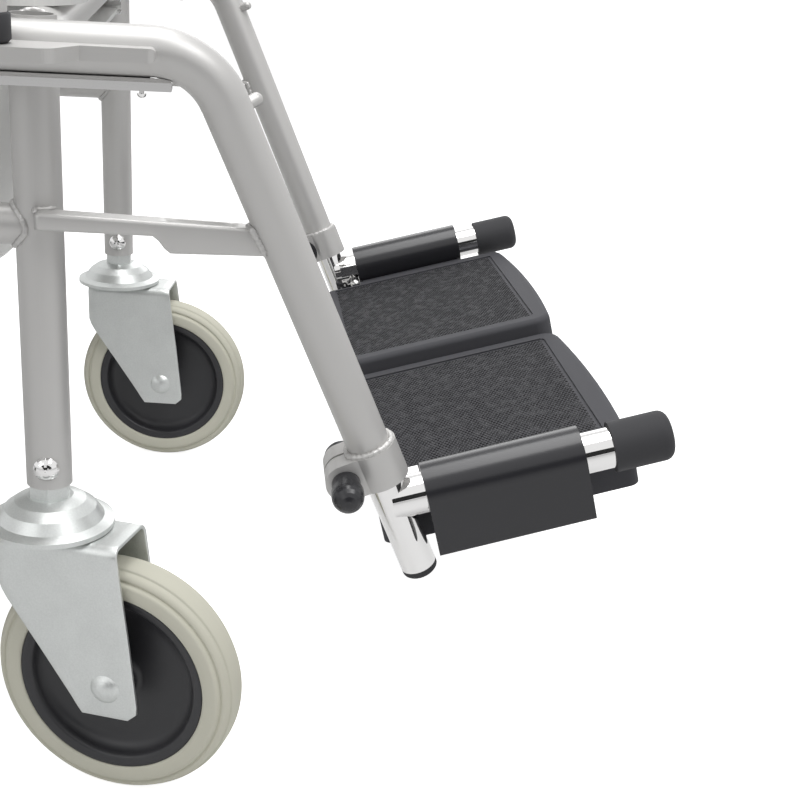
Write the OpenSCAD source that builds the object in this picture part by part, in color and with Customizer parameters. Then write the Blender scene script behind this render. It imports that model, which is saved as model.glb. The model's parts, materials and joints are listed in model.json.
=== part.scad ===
// Mobile commode chair on four swivel castors.
// Millimetres, +Z up, front towards -Y, the sitter's right towards -X.
// The origin lies on the floor, at the middle of the chair's width and of its whole depth.

/* [Frame] */
// Distance between the left and the right castor posts, axis to axis
post_spacing = 516; // [480:1:560]
// Distance between the front and the rear castor posts, axis to axis
wheelbase = 400; // [370:1:430]
// Height of the seat rails' axis above the floor
rail_h = 439; // [425:1:460]
// Outer diameter of the frame tube
tube_d = 25.4; // [24.8:0.1:26]
// Wall of the frame tube
tube_wall = 1.5; // [1.2:0.1:1.6]
// Bend radius of the frame tube, on its axis
bend_r = 40; // [36:1:50]
// How far the seat rail's front corner lies ahead of the front posts
leg_ahead = 87; // [80:1:100]
// Slope of the leg tube against the upright, seen from the side
leg_pitch = 23.2; // [20:0.1:26]
// Slope of the leg tube against the upright, seen from the front
leg_splay = 6; // [4:0.1:7]
// Length of the leg tube from the rail's corner to its lower end
leg_l = 265.5; // [250:0.5:275]
// How far the seat rail runs on behind the rear post
rail_behind = 30; // [20:1:45]
// Height of the lower side tube's axis above the floor
side_tube_h = 343; // [330:1:355]
// Diameter of the lower side tube and of the arm tube
side_tube_d = 22; // [20:0.5:24]

/* [Front brace] */
// Thickness of the pressed brace, across the chair
brace_t = 14; // [10:0.5:18]
// Height of the brace where it is deep, at the leg tube
brace_deep = 15; // [13:0.5:18]
// Height of the brace where it is thin, at the post
brace_thin = 9.5; // [8:0.5:11]
// Length of the deep part, from the leg tube's axis
brace_deep_l = 64; // [55:1:70]

/* [Clamp collar] */
// Length of the clamp collar
collar_l = 24; // [22:0.5:30]
// Wall of the clamp collar
collar_wall = 3.5; // [3:0.1:4]
// Radius of the collar's ear round the clamp screw
ear_r = 12; // [11:0.5:13]
// Thickness of the ear, across the chair
ear_t = 28; // [26:0.5:30]
// Distance of the clamp screw behind the leg tube's axis
ear_out = 19.5; // [18:0.5:21]
// Diameter of the clamp knob
knob_d = 19; // [17:0.5:22]
// Height of the clamp knob
knob_h = 24; // [20:0.5:28]
// Diameter of the clamp knob's neck
knob_neck_d = 17; // [14:0.5:17]
// Diameter of the clamp screw
knob_screw_d = 6; // [5:0.5:8]

/* [Footrest tube] */
// Outer diameter of the telescoping tube
tele_d = 22; // [21.4:0.1:22.3]
// How far the foot tube's axis lies below the leg tube's end
tele_gap = 16.5; // [16:0.5:20]
// Length of the telescoping tube inside the leg
tele_in_l = 180; // [160:1:190]
// Length of the telescoping tube below the foot tube's axis
tele_below = 49; // [40:1:54]
// Wall of the chromed tubes
chrome_wall = 1.5; // [1.2:0.1:2]
// Outer diameter of the foot tube
foot_d = 25.4; // [24:0.1:26]
// Length of the foot tube, from the leg's axis
foot_l = 168; // [160:1:180]
// Rise of the foot tube towards its front end, in degrees
foot_rise = 14.9; // [10:0.1:17]
// Outer diameter of the foot tube's rubber cap
cap_d = 31; // [29:0.5:33]
// Length of the foot tube's rubber cap
cap_l = 37; // [33:0.5:42]
// Wall of the rubber cap at its end
cap_end = 5; // [4:0.5:7]

/* [Footplate] */
// Outer diameter of the hinge barrel
barrel_d = 36; // [35:0.5:38]
// Length of the hinge barrel
barrel_l = 97; // [85:1:100]
// Where the hinge barrel starts, ahead of the leg's axis
barrel_at = 20.5; // [20.5:0.5:24]
// How far the barrel's skirt hangs below the foot tube's axis
skirt_drop = 36; // [30:1:42]
// Thickness of the skirt
skirt_t = 4; // [3:0.5:5]
// Length of the footplate, front to rear
plate_l = 164; // [156:1:176]
// How far the footplate starts behind the leg's axis
plate_behind = 10; // [6:1:12]
// How far the footplate's front edge bulges
plate_bulge = 5.5; // [3:0.5:10]
// Gap between the two footplates at the chair's middle
plate_gap = 4; // [3:0.5:10]
// How far the footplate's top lies below the foot tube's axis
plate_drop = 11; // [10:0.5:13]
// Depth of the footplate with its skirt
plate_deep = 27; // [22:0.5:30]
// Thickness of the footplate's top
plate_t = 4; // [3:0.5:6]
// Height of the rim above the footplate's tread
plate_rim_h = 1.2; // [0.8:0.1:2]
// Width of the smooth rim along the tread's inner edge
plate_rim_w = 13; // [10:1:18]
// Radius of the footplate's corners at the chair's middle
plate_corner_r = 14; // [8:1:20]
// How far the left footplate is folded up at rest, in degrees
plate_fold_left = 2.2; // [0:0.1:4]

/* [Castors] */
// Diameter of the wheel
wheel_d = 150; // [146:1:152]
// Width of the tyre
tyre_w = 29; // [27:0.5:30]
// Height of the tyre above the hub's rim
tyre_h = 17; // [15:0.5:19]
// Trail of the wheel behind the swivel axis
castor_trail = 41; // [38:0.5:44]
// Width of the fork over its two legs
fork_w = 42; // [40:0.5:46]
// Thickness of the fork's sheet
fork_t = 2.5; // [2:0.1:3]
// Diameter of the axle
axle_d = 10; // [8:0.5:12]
// Diameter of the swivel bearing's dome
dome_d = 72; // [64:0.5:74]
// Height of the swivel bearing's dome
dome_h = 18; // [15:0.5:20]
// Diameter of the swivel pin
stem_d = 12; // [10:0.5:14]
// Gap between the dome and the post, filled by the stem's nut
stem_nut_h = 8; // [6:0.5:10]
// Turn of the front right castor
turn_front_right = -20.7; // [-25:0.1:25]
// Turn of the front left castor
turn_front_left = -8.2; // [-25:0.1:25]
// Turn of the rear right castor
turn_rear_right = -14; // [-25:0.1:25]
// Turn of the rear left castor
turn_rear_left = -11; // [-25:0.1:25]

/* [Seat] */
// Width of the seat
seat_w = 500; // [460:1:505]
// How far the seat reaches ahead of the front posts
seat_ahead = 25; // [15:1:30]
// Thickness of the seat board
board_t = 10; // [8:0.5:14]
// Thickness of the seat cushion at its crown
cushion_t = 46; // [36:1:55]
// Width of the hygiene opening
opening_w = 220; // [200:1:240]
// Length of the hygiene opening
opening_l = 270; // [240:1:280]

/* [Backrest] */
// Height of the push handles above the floor
handle_h = 925; // [900:1:960]
// How far the push handles reach behind the rear posts
handle_reach = 155; // [145:1:170]
// Length of the handle grip
grip_l = 100; // [90:1:105]
// Outer diameter of the handle grip
grip_d = 33; // [31:0.5:36]
// Width of the backrest
back_w = 530; // [500:1:540]
// Height of the backrest pad
back_high = 230; // [200:1:260]
// Thickness of the backrest pad
back_t = 38; // [30:1:45]
// Height of the backrest's lower edge above the floor
back_h = 620; // [600:1:650]

/* [Armrests] */
// Height of the arm tube's axis above the floor
arm_h = 668; // [650:1:690]
// Length of the arm pad
pad_l = 300; // [260:1:320]
// Width of the arm pad
pad_w = 48; // [44:1:56]
// Thickness of the arm pad
pad_t = 26; // [20:1:32]
// Diameter of the arm's pivot bolt
arm_pin_d = 10; // [8:0.5:12]
// Height of the flat bar that the arm's foot stands on
arm_bar_h = 7; // [6:0.5:9]
// Depth of that flat bar, out from the rail
arm_bar_out = 9; // [8:0.5:12]

/* [Pan] */
// Distance between the two pan rails, outside to outside
pan_rails_w = 410; // [390:1:430]
// How far the pan rails' lower face lies below the seat rails' axis
pan_rail_drop = 29; // [27:0.5:35]
// Height of the pan rail's section
pan_rail_high = 11; // [9:0.5:12]
// Width of the pan rail's section
pan_rail_w = 16; // [12:0.5:20]
// Sheet thickness of the pan rail
pan_rail_t = 1.5; // [1:0.1:2]
// Diameter of the pan's mouth
pan_d = 300; // [270:1:320]
// Depth of the pan
pan_deep = 150; // [120:1:170]
// Wall of the pan
pan_wall = 2.5; // [2:0.1:3.5]

/* [Hidden] */

// Colours
grey_paint = [0.72, 0.71, 0.70];
chrome = [0.85, 0.86, 0.88];
zinc = [0.76, 0.78, 0.76];
charcoal = [0.20, 0.20, 0.21];
black = [0.07, 0.07, 0.08];
cream = [0.80, 0.79, 0.70];
white_plastic = [0.92, 0.92, 0.90];
seat_black = [0.13, 0.13, 0.14];

// Facets of round faces, and of the corners of drawn outlines
$fn = 64;
corner_steps = 6;
// Overrun of every cut
cut = 1;
// Clearances: running fits, and the gap left between parts that move past each other
running = 0.05;
slide_fit = 0.08;
gap = 0.4;

RIGHT = -1;
LEFT = 1;

// Places worked out from the driving dimensions
tube_r = tube_d / 2;
post_x = post_spacing / 2;
rail_x = post_x + tube_d;
leg_up = [cos(leg_pitch) * sin(leg_splay), sin(leg_pitch), cos(leg_pitch) * cos(leg_splay)];
foot_down = leg_l + tele_gap;
foot_y = -leg_ahead - foot_down * leg_up.y;
foot_x = rail_x - foot_down * leg_up.x;
foot_z = rail_h - foot_down * leg_up.z;
cap_round = cap_d / 5;
cap_tip = foot_l + cap_end;
front_reach = -foot_y + (cap_tip - cap_round) * cos(foot_rise)
    + (cap_d / 2 - cap_round) * sin(foot_rise) + cap_round;
pan_rail_h = rail_h - pan_rail_drop;
post_y = (front_reach - wheelbase - handle_reach) / 2;
rear_y = post_y + wheelbase;
corner_y = post_y - leg_ahead;

// Castor heights, from the wheel up
wheel_r = wheel_d / 2;
fork_clear = 14;
fork_top = wheel_d + fork_clear + fork_t;
post_bottom = fork_top + gap + dome_h + stem_nut_h;

// Vector helpers
function unit(v) = v / norm(v);
function turned(d1, d2) = acos(max(-1, min(1, d1 * d2)));
function bend_reach(p, q, s, radius) = radius * tan(turned(unit(q - p), unit(s - q)) / 2);

// Points of an outline whose corners are rounded with the radii in rs
function corner_arc(a, b, c, r) =
    let (u = unit(a - b), v = unit(c - b), half = turned(u, v) / 2,
         middle = b + unit(u + v) * r / sin(half),
         from = atan2((b + u * r / tan(half) - middle).y, (b + u * r / tan(half) - middle).x),
         to = atan2((b + v * r / tan(half) - middle).y, (b + v * r / tan(half) - middle).x),
         sweep = (to - from + 540) % 360 - 180)
    [for (i = [0:corner_steps])
        let (at = from + sweep * i / corner_steps)
        middle + r * [cos(at), sin(at)]];
function rounded(pts, rs) =
    let (n = len(pts))
    [for (i = [0:n - 1])
        let (r = is_list(rs) ? rs[i] : rs)
        each (r > 0 ? corner_arc(pts[(i + n - 1) % n], pts[i], pts[(i + 1) % n], r) : [pts[i]])];
function box_outline(w, l) = [[-w / 2, -l / 2], [w / 2, -l / 2], [w / 2, l / 2], [-w / 2, l / 2]];

// A round bar between two points
module rod(a, b, r) {
    v = b - a;
    translate(a) rotate([0, acos(v.z / norm(v)), atan2(v.y, v.x)]) cylinder(r = r, h = norm(v));
}

// A bend in a round bar, at the corner q between p and s
module elbow(p, q, s, radius, r) {
    d1 = unit(q - p);
    d2 = unit(s - q);
    n = unit(d2 - (d2 * d1) * d1);
    m = cross(d1, n);
    c = q - d1 * bend_reach(p, q, s, radius) + n * radius;
    multmatrix([[-n.x, d1.x, m.x, c.x], [-n.y, d1.y, m.y, c.y], [-n.z, d1.z, m.z, c.z], [0, 0, 0, 1]])
        rotate_extrude(angle = turned(d1, d2), $fn = 96) translate([radius, 0]) circle(r = r, $fn = 48);
}

// Straight lengths run this far into a bend, whose section is this much fuller, so that they join cleanly
joint_in = 1.5;
joint_step = 0.1;

// A round bar bent along the points
module bent_rod(pts, radius, r) {
    n = len(pts);
    reach = [for (i = [0:n - 1])
        i == 0 || i == n - 1 ? 0 : bend_reach(pts[i - 1], pts[i], pts[i + 1], radius) - joint_in];
    for (i = [0:n - 2]) {
        d = unit(pts[i + 1] - pts[i]);
        rod(pts[i] + d * reach[i], pts[i + 1] - d * reach[i + 1], r);
    }
    for (i = [1:1:n - 2]) elbow(pts[i - 1], pts[i], pts[i + 1], radius, r + joint_step);
}

function stretched(pts, more) =
    let (n = len(pts))
    [for (i = [0:n - 1])
        i == 0 ? pts[0] - unit(pts[1] - pts[0]) * more
        : i == n - 1 ? pts[i] + unit(pts[i] - pts[i - 1]) * more : pts[i]];

// A tube bent along the points, open at both ends
module bent_tube(pts, radius, outer_r, inner_r) {
    difference() {
        bent_rod(pts, radius, outer_r);
        bent_rod(stretched(pts, cut), radius, inner_r);
    }
}

// A round tube with a rounded, closed end at the bottom, open at the top
module closed_cap(outer_d, inner_d, h, floor_t, round_r) {
    rotate_extrude() polygon(concat(
        [[0, 0]],
        [for (i = [0:corner_steps]) [outer_d / 2 - round_r + round_r * sin(90 * i / corner_steps),
                                     round_r - round_r * cos(90 * i / corner_steps)]],
        [[outer_d / 2, h], [inner_d / 2, h], [inner_d / 2, floor_t], [0, floor_t]]));
}

// Everything with a side is drawn for the left side of the chair, +X, and mirrored for the right
module sided(side) {
    if (side < 0) mirror([1, 0, 0]) children();
    else children();
}
// The leg tube's frame: +Z runs up the leg, and down is the distance from the rail's corner
module on_leg(down) {
    translate([rail_x, corner_y, rail_h]) rotate([-leg_pitch, leg_splay, 0]) translate([0, 0, -down])
        children();
}
// The foot tube's frame: +X runs out from the chair and -Y runs forward along the tube
module on_foot() {
    translate([foot_x, post_y + foot_y, foot_z]) rotate([-foot_rise, 0, 0]) children();
}
// The footplate's frame: the foot tube's, folded up by the plate's angle at rest
module on_plate(side) {
    on_foot() rotate([0, side < 0 ? 0 : plate_fold_left, 0]) children();
}
// Extrudes an outline drawn in Y and Z across X, centred
module across(w) {
    rotate([90, 0, 90]) linear_extrude(w, center = true) children();
}
// Extrudes an outline drawn in X and Z forward, from the plane Y = 0
module forward(l) {
    rotate([90, 0, 0]) linear_extrude(l) children();
}
// A castor's frame: its swivel axis is +Z and it trails along -Y before it is turned
module castor_place(side, y, turn) {
    translate([side * post_x, y, 0]) rotate([0, 0, turn]) children();
}
module forward_rod(start, l, r) {
    translate([0, -start, 0]) rotate([90, 0, 0]) cylinder(r = r, h = l);
}

// Seat rail and leg

leg_bore_r = tele_d / 2 + slide_fit;
rail_corner = [rail_x, corner_y, rail_h];
frame_path = [[rail_x, rear_y + rail_behind, rail_h], rail_corner, rail_corner - leg_l * leg_up];
stub_r = 3.5;
stub_l = 9;
stub_down = 33;
stub_turn = 37;
arm_bar_ahead = 64;
arm_bar_behind = 30;
arm_bar_front_l = 24;
arm_bar_foot_w = 28;

// The bend itself is drawn solid, from this far before the corner to as far after it
bend_length = bend_r * tan((90 - leg_pitch) / 2) + cut;

// A pin rising along +Z with a round end
module round_pin(r, l) {
    rotate_extrude() polygon(concat([[0, 0], [r, 0]],
        [for (i = [0:corner_steps]) [r * cos(90 * i / corner_steps), l - r + r * sin(90 * i / corner_steps)]]));
}

// A short round stub welded on the front of the leg, below the bend
module stop_stub() {
    on_leg(stub_down) rotate([90, 0, -stub_turn]) round_pin(stub_r, tube_r + stub_l);
}

// The flat bar welded along the rail's outer face, which the arm's foot stands on
module arm_bar() {
    end_r = arm_bar_h * 3 / 8;
    translate([rail_x, post_y, rail_h]) intersection() {
        translate([0, 0, -arm_bar_h / 2]) linear_extrude(arm_bar_h)
            polygon(rounded([[0, -arm_bar_ahead], [tube_r + arm_bar_out, -arm_bar_ahead],
                             [tube_r + arm_bar_out, -arm_bar_ahead + arm_bar_front_l * 3 / 2],
                             [tube_r + arm_bar_foot_w, -arm_bar_ahead + arm_bar_front_l * 2],
                             [tube_r + arm_bar_foot_w, arm_bar_behind], [0, arm_bar_behind]],
                            [0, arm_bar_out / 2, 0, arm_bar_out, arm_bar_out, 0]));
        across(tube_d * 4)
            polygon(rounded([[-arm_bar_ahead, -arm_bar_h / 2], [arm_bar_behind + cut, -arm_bar_h / 2],
                             [arm_bar_behind + cut, arm_bar_h / 2], [-arm_bar_ahead, arm_bar_h / 2]],
                            [end_r, 0, 0, end_r]));
    }
}

module side_frame(side) {
    color(grey_paint) sided(side) difference() {
        union() {
            bent_rod(frame_path, bend_r, tube_r);
            stop_stub();
            arm_bar();
        }
        rod(frame_path[0] + [0, cut, 0], rail_corner + [0, bend_length, 0], leg_bore_r);
        rod(rail_corner - bend_length * leg_up, rail_corner - (leg_l + cut) * leg_up, leg_bore_r);
    }
}

// Posts and cross tubes

inner_r = tube_r - tube_wall;
post_top = rail_h + tube_r;
stem_bolt_h = post_bottom + tube_r;
stem_bolt_d = 8;
handle_bend_r = 50;
back_screw_d = 6;
back_screw_in_share = 0.2;
back_screw_zs = [back_h + back_high * back_screw_in_share, back_h + back_high * (1 - back_screw_in_share)];

module across_hole(x, y, z, d) {
    translate([x - tube_d, y, z]) rotate([0, 90, 0]) cylinder(d = d, h = 2 * tube_d);
}

module front_post(side) {
    color(grey_paint) sided(side) difference() {
        bent_tube([[post_x, post_y, post_bottom], [post_x, post_y, post_top]], bend_r, tube_r, inner_r);
        across_hole(post_x, post_y, stem_bolt_h, stem_bolt_d);
    }
}

module rear_post(side) {
    end_y = rear_y + handle_reach - grip_wall;
    color(grey_paint) sided(side) difference() {
        bent_tube([[post_x, rear_y, post_bottom], [post_x, rear_y, handle_h], [post_x, end_y, handle_h]],
                  handle_bend_r, tube_r, inner_r);
        across_hole(post_x, rear_y, stem_bolt_h, stem_bolt_d);
        across_hole(post_x, rear_y, arm_h, arm_pin_d);
        for (z = back_screw_zs) translate([post_x, rear_y + tube_d, z]) rotate([90, 0, 0])
            cylinder(d = back_screw_d, h = 2 * tube_d);
    }
}

// A tube between two posts, its ends coped to fit them
module coped_tube(a, b, outer_r) {
    difference() {
        rod(a, b, outer_r);
        rod(a, b, outer_r - tube_wall);
        for (p = [a, b]) translate([p.x, p.y, p.z - tube_d]) cylinder(r = tube_r, h = 2 * tube_d);
    }
}

module cross_tube(y) {
    color(grey_paint) coped_tube([-post_x, y, rail_h], [post_x, y, rail_h], tube_r);
}

module lower_side_tube(side) {
    color(grey_paint) sided(side)
        coped_tube([post_x, post_y, side_tube_h], [post_x, rear_y, side_tube_h], side_tube_d / 2);
}

// The pressed brace from the front post to the leg: thin at the post, deep at the leg
brace_fall = 5;
brace_step = 7;
brace_round = 4;

module front_brace(side) {
    top = side_tube_h + side_tube_d / 2;
    down = (rail_h - top + brace_deep) / leg_up.z;
    leg_y = corner_y - down * leg_up.y;
    leg_x = rail_x - down * leg_up.x;
    step_y = leg_y + brace_deep_l;
    low = top - brace_fall - brace_deep;
    color(grey_paint) sided(side) difference() {
        translate([leg_x, 0, 0]) across(brace_t)
            polygon(rounded([[post_y, top], [leg_y, top - brace_fall], [leg_y, low], [step_y - brace_step, low],
                             [step_y, top - brace_thin - brace_fall / 2], [post_y, top - brace_thin]],
                            [0, 0, 0, brace_round, brace_round, 0]));
        translate([post_x, post_y, top - tube_d * 2]) cylinder(r = tube_r, h = tube_d * 4);
        rod(rail_corner, rail_corner - leg_l * leg_up, tube_r);
    }
}

// Clamp collar on the leg's end, with its split ear, knob and nut

ear_slot = 2;
nut_d = 22;
nut_h = 5;
knob_neck_h = 9;
knob_step = 1;

module at_clamp_screw() {
    on_leg(leg_l) translate([0, ear_out, collar_l / 2]) rotate([0, 90, 0]) children();
}

module clamp_collar(side) {
    color(grey_paint) sided(side) difference() {
        on_leg(leg_l) difference() {
            union() {
                cylinder(r = tube_r + collar_wall, h = collar_l);
                across(ear_t) union() {
                    translate([ear_out, collar_l / 2]) circle(r = ear_r);
                    polygon([[0, 0], [ear_out, collar_l / 2 - ear_r],
                             [ear_out, collar_l / 2 + ear_r], [0, collar_l]]);
                }
            }
            translate([0, 0, -cut]) cylinder(r = tube_r, h = collar_l + 2 * cut);
            translate([-ear_slot / 2, 0, -cut]) cube([ear_slot, ear_out + ear_r + cut, collar_l + 2 * cut]);
        }
        at_clamp_screw() cylinder(d = knob_screw_d + 2 * running, h = 2 * ear_t, center = true);
    }
}

module clamp_knob(side) {
    r = knob_d / 2;
    color(black) sided(side) at_clamp_screw() {
        translate([0, 0, ear_t / 2 + gap]) rotate_extrude() polygon(concat(
            [[0, 0], [knob_neck_d / 2, 0], [knob_neck_d / 2, knob_neck_h], [r, knob_neck_h + knob_step]],
            [for (i = [0:corner_steps])
                [r * cos(90 * i / corner_steps), knob_h - r + r * sin(90 * i / corner_steps)]]));
        translate([0, 0, -ear_t / 2 - nut_h + cut]) cylinder(d = knob_screw_d, h = ear_t + nut_h);
    }
}

module clamp_nuts() {
    color(black) for (side = [RIGHT, LEFT]) sided(side) at_clamp_screw() difference() {
        translate([0, 0, -ear_t / 2 - nut_h]) cylinder(d = nut_d, h = nut_h);
        translate([0, 0, -ear_t / 2 - nut_h + cut]) cylinder(d = knob_screw_d + 2 * running, h = nut_h + cut);
    }
}

// Footrest

tele_r = tele_d / 2;
foot_r = foot_d / 2;
barrel_r = barrel_d / 2;

module foot_tube(side) {
    top = leg_l - tele_in_l;
    color(chrome) sided(side) difference() {
        union() {
            on_leg(foot_down + tele_below) cylinder(r = tele_r, h = foot_down + tele_below - top);
            on_foot() forward_rod(0, foot_l, foot_r);
        }
        on_leg(foot_down + tele_below + cut)
            cylinder(r = tele_r - chrome_wall, h = foot_down + tele_below - top + 2 * cut);
        on_foot() forward_rod(tele_r, foot_l, foot_r - chrome_wall);
    }
}

tele_plug_h = 5;
tele_plug_in = 12;

module foot_tube_caps(side) {
    color(black) sided(side) {
        on_foot() translate([0, -foot_l - cap_end, 0]) rotate([-90, 0, 0])
            closed_cap(cap_d, foot_d, cap_l, cap_end, cap_round);
        on_leg(foot_down + tele_below + tele_plug_h) {
            closed_cap(tele_d, tele_d - 2 * chrome_wall, tele_plug_h, tele_plug_h, tele_plug_h / 2);
            cylinder(r = tele_r - chrome_wall, h = tele_plug_h + tele_plug_in);
        }
    }
}

module hinge_barrel(side) {
    color(black) sided(side) on_plate(side) translate([0, -barrel_at, 0]) forward(barrel_l) difference() {
        union() {
            circle(r = barrel_r);
            translate([barrel_r - skirt_t, skirt_t / 2 - skirt_drop])
                square([skirt_t, skirt_drop - skirt_t / 2]);
            translate([barrel_r - skirt_t / 2, skirt_t / 2 - skirt_drop]) circle(d = skirt_t);
        }
        circle(r = foot_r + running);
    }
}

// Footplate, open below, with a smooth raised rim round its tread
plate_edge_steps = 12;
plate_wall = 3;
plate_saddle_in = 3;
stop_clear_r = 28.5;
plate_rib_t = 2.5;
plate_ribs = 3;
tread_front_margin = 11;
tread_outer_margin = 12;
tread_corner_r = 4;

// Outline of the plate, drawn in by a margin on each side: inner, front, outer and rear
function plate_outline(m_in, m_front, m_out, m_rear, r, bulge = plate_bulge) =
    let (xi = -(foot_x - plate_gap / 2 - m_in), xo = -(barrel_r + m_out),
         y0 = plate_behind - m_rear, y1 = plate_behind - plate_l + m_front)
    rounded(concat([[xo, y0], [xi, y0]],
                   [for (i = [0:plate_edge_steps])
                       let (t = i / plate_edge_steps)
                       [xi + (xo - xi) * t, y1 - bulge * 4 * t * (1 - t)]]),
            concat([r / 2, r, r], [for (i = [2:plate_edge_steps]) 0], [r / 2]));

module footplate(side) {
    top = -plate_drop;
    low = top - plate_deep;
    inner = foot_x - barrel_r;
    r = plate_corner_r;
    w = plate_wall;
    rib_x = plate_gap / 2 + w / 2 - foot_x;
    color(charcoal) sided(side) on_plate(side) difference() {
        union() {
            difference() {
                translate([0, 0, low]) linear_extrude(plate_deep) polygon(plate_outline(0, 0, 0, 0, r));
                translate([0, 0, low - cut]) linear_extrude(plate_deep - plate_t + cut)
                    polygon(plate_outline(w, w, w, w, r - w));
            }
            for (i = [1:plate_ribs]) translate([rib_x, plate_behind - plate_l * i / (plate_ribs + 1), low])
                cube([inner - plate_gap / 2 - w, plate_rib_t, plate_deep - plate_t]);
            translate([-barrel_r - w, -barrel_at - barrel_l + plate_saddle_in, low])
                cube([barrel_r, barrel_l - 2 * plate_saddle_in, plate_deep]);
        }
        translate([0, 0, top - plate_rim_h]) linear_extrude(plate_rim_h + cut)
            polygon(plate_outline(plate_rim_w, tread_front_margin, tread_outer_margin, tread_outer_margin / 2,
                                  tread_corner_r, 0));
        forward_rod(barrel_at - cut, barrel_l + 2 * cut, barrel_r);
        forward_rod(-plate_behind - cut, plate_behind + barrel_at + cut, stop_clear_r);
    }
}

// Welded block on the foot tube's inner side that the plate comes to rest on, with its round pin
stop_out = 22;
stop_top = 8;
stop_low = 1;
stop_l = 15;
stop_pin_r = 4.4;
stop_pin_l = 26;
stop_pin_z = 9.5;

module plate_stop(side) {
    start = barrel_at - stop_l - gap;
    color(chrome) sided(side) on_foot() difference() {
        union() {
            translate([-stop_out, -start - stop_l, -stop_low])
                cube([stop_out, stop_l, stop_top + stop_low]);
            translate([0, -start - stop_l + stop_pin_r, -stop_pin_z]) rotate([0, -90, 0])
                round_pin(stop_pin_r, stop_pin_l);
        }
        forward_rod(start - cut, stop_l + 2 * cut, foot_r);
        on_leg_from_foot() cylinder(r = tele_r, h = tele_below * 2, center = true);
    }
}
// The leg's direction seen from the foot tube's frame
module on_leg_from_foot() {
    rotate([foot_rise - leg_pitch, leg_splay, 0]) children();
}

// Castors

hub_r = wheel_r - tyre_h;
hub_in = 1;
hub_half_w = tyre_w / 2 - hub_in;
boss_r = axle_d * 1.2;
boss_half_w = fork_w / 2 - fork_t - gap;
fork_front = 10;
fork_rear = 24;
fork_toe = 20;
fork_heel = 14;
fork_below = 19;
fork_shoulder = 27;
fork_round = 6;
pedal_ahead = 25;
pedal_up = 78;
pedal_pin_d = 6;
pedal_hub_r = 5;
pedal_in = 1;
pedal_l = 44;
pedal_t = 5;
pedal_w = 34;
pedal_ear = 6;

module at_axle() {
    translate([0, -castor_trail, wheel_r]) rotate([0, 90, 0]) children();
}
module at_pedal() {
    translate([0, -castor_trail - pedal_ahead, wheel_r + pedal_up]) children();
}

module castor_fork(side, y, turn, braked) {
    front = -castor_trail - fork_front;
    low = wheel_r - fork_below;
    outline = [[fork_rear, fork_top], [front, fork_top], [-castor_trail - fork_toe, low],
               [-castor_trail + fork_heel, low], [fork_rear, fork_top - fork_shoulder]];
    ear_y = -castor_trail - pedal_ahead - pedal_ear;
    ear_low = wheel_r + pedal_up - pedal_ear;
    color(zinc) castor_place(side, y, turn) difference() {
        union() {
            for (x = [-1, 1]) translate([x * (fork_w - fork_t) / 2, 0, 0]) across(fork_t) union() {
                polygon(rounded(outline, [0, 0, fork_round, fork_round, fork_round]));
                if (braked) polygon(rounded([[0, fork_top], [ear_y, fork_top], [ear_y, ear_low], [0, ear_low]],
                                            [0, 0, fork_round / 2, 0]));
            }
            translate([-fork_w / 2, front, fork_top - fork_t]) cube([fork_w, fork_rear - front, fork_t]);
        }
        translate([0, 0, fork_top - fork_t - cut]) cylinder(d = stem_d + 2 * running, h = fork_t + 2 * cut);
        at_axle() cylinder(d = axle_d, h = fork_w + 2 * cut, center = true);
        if (braked) at_pedal() rotate([0, 90, 0])
            cylinder(d = pedal_pin_d, h = fork_w + 2 * cut, center = true);
    }
}

// A domed head, rising along +Z
module domed_head(r, h) {
    ball = (r * r + h * h) / (2 * h);
    rotate_extrude() polygon(concat([[0, 0]], [for (i = [0:corner_steps])
        let (a = asin(r / ball) * (1 - i / corner_steps)) [ball * sin(a), ball * cos(a) - ball + h]]));
}

axle_head_share = 0.9;
axle_head_h = 4;

module castor_axle(side, y, turn, braked) {
    color(zinc) castor_place(side, y, turn) {
        at_axle() {
            cylinder(d = axle_d, h = fork_w, center = true);
            for (a = [0, 180]) rotate([a, 0, 0]) translate([0, 0, fork_w / 2])
                domed_head(axle_d * axle_head_share, axle_head_h);
        }
        if (braked) at_pedal() rotate([0, 90, 0]) cylinder(d = pedal_pin_d, h = fork_w, center = true);
    }
}

// Turned parts lie along X once they are on the axle
web_half_share = 0.12;
lip_share = 0.14;
dish_share = 0.42;

module castor_hub(side, y, turn) {
    lip_r = hub_r * (1 - lip_share);
    lip_w = hub_half_w * (1 - web_half_share);
    dish_w = hub_half_w * dish_share;
    bore_r = axle_d / 2 + running;
    web = hub_half_w * web_half_share * 2;
    color(black) castor_place(side, y, turn) at_axle() rotate_extrude() polygon([
        [bore_r, -boss_half_w], [boss_r, -boss_half_w], [boss_r + web, -web], [lip_r - web * 2, -web],
        [lip_r - web, -dish_w], [lip_r, -lip_w], [hub_r, -hub_half_w],
        [hub_r, hub_half_w], [lip_r, lip_w], [lip_r - web, dish_w],
        [lip_r - web * 2, web], [boss_r + web, web], [boss_r, boss_half_w], [bore_r, boss_half_w]]);
}

// Half profile of the stepped tyre: shares of its height above the rim, and of its half width
tyre_profile_shares = [[0, 0.93], [0.2, 0.98], [0.48, 1], [0.6, 0.93], [0.64, 0.84], [0.68, 0.86],
                       [0.8, 0.8], [0.88, 0.66], [0.9, 0.58], [0.93, 0.58], [0.98, 0.42], [1, 0.22]];

module castor_tyre(side, y, turn) {
    n = len(tyre_profile_shares);
    one = [for (p = tyre_profile_shares) [hub_r + tyre_h * p[0], tyre_w / 2 * p[1]]];
    other = [for (i = [n - 1:-1:0]) [one[i].x, -one[i].y]];
    color(cream) castor_place(side, y, turn) at_axle() rotate_extrude($fn = 128) polygon(concat(one, other));
}

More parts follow.
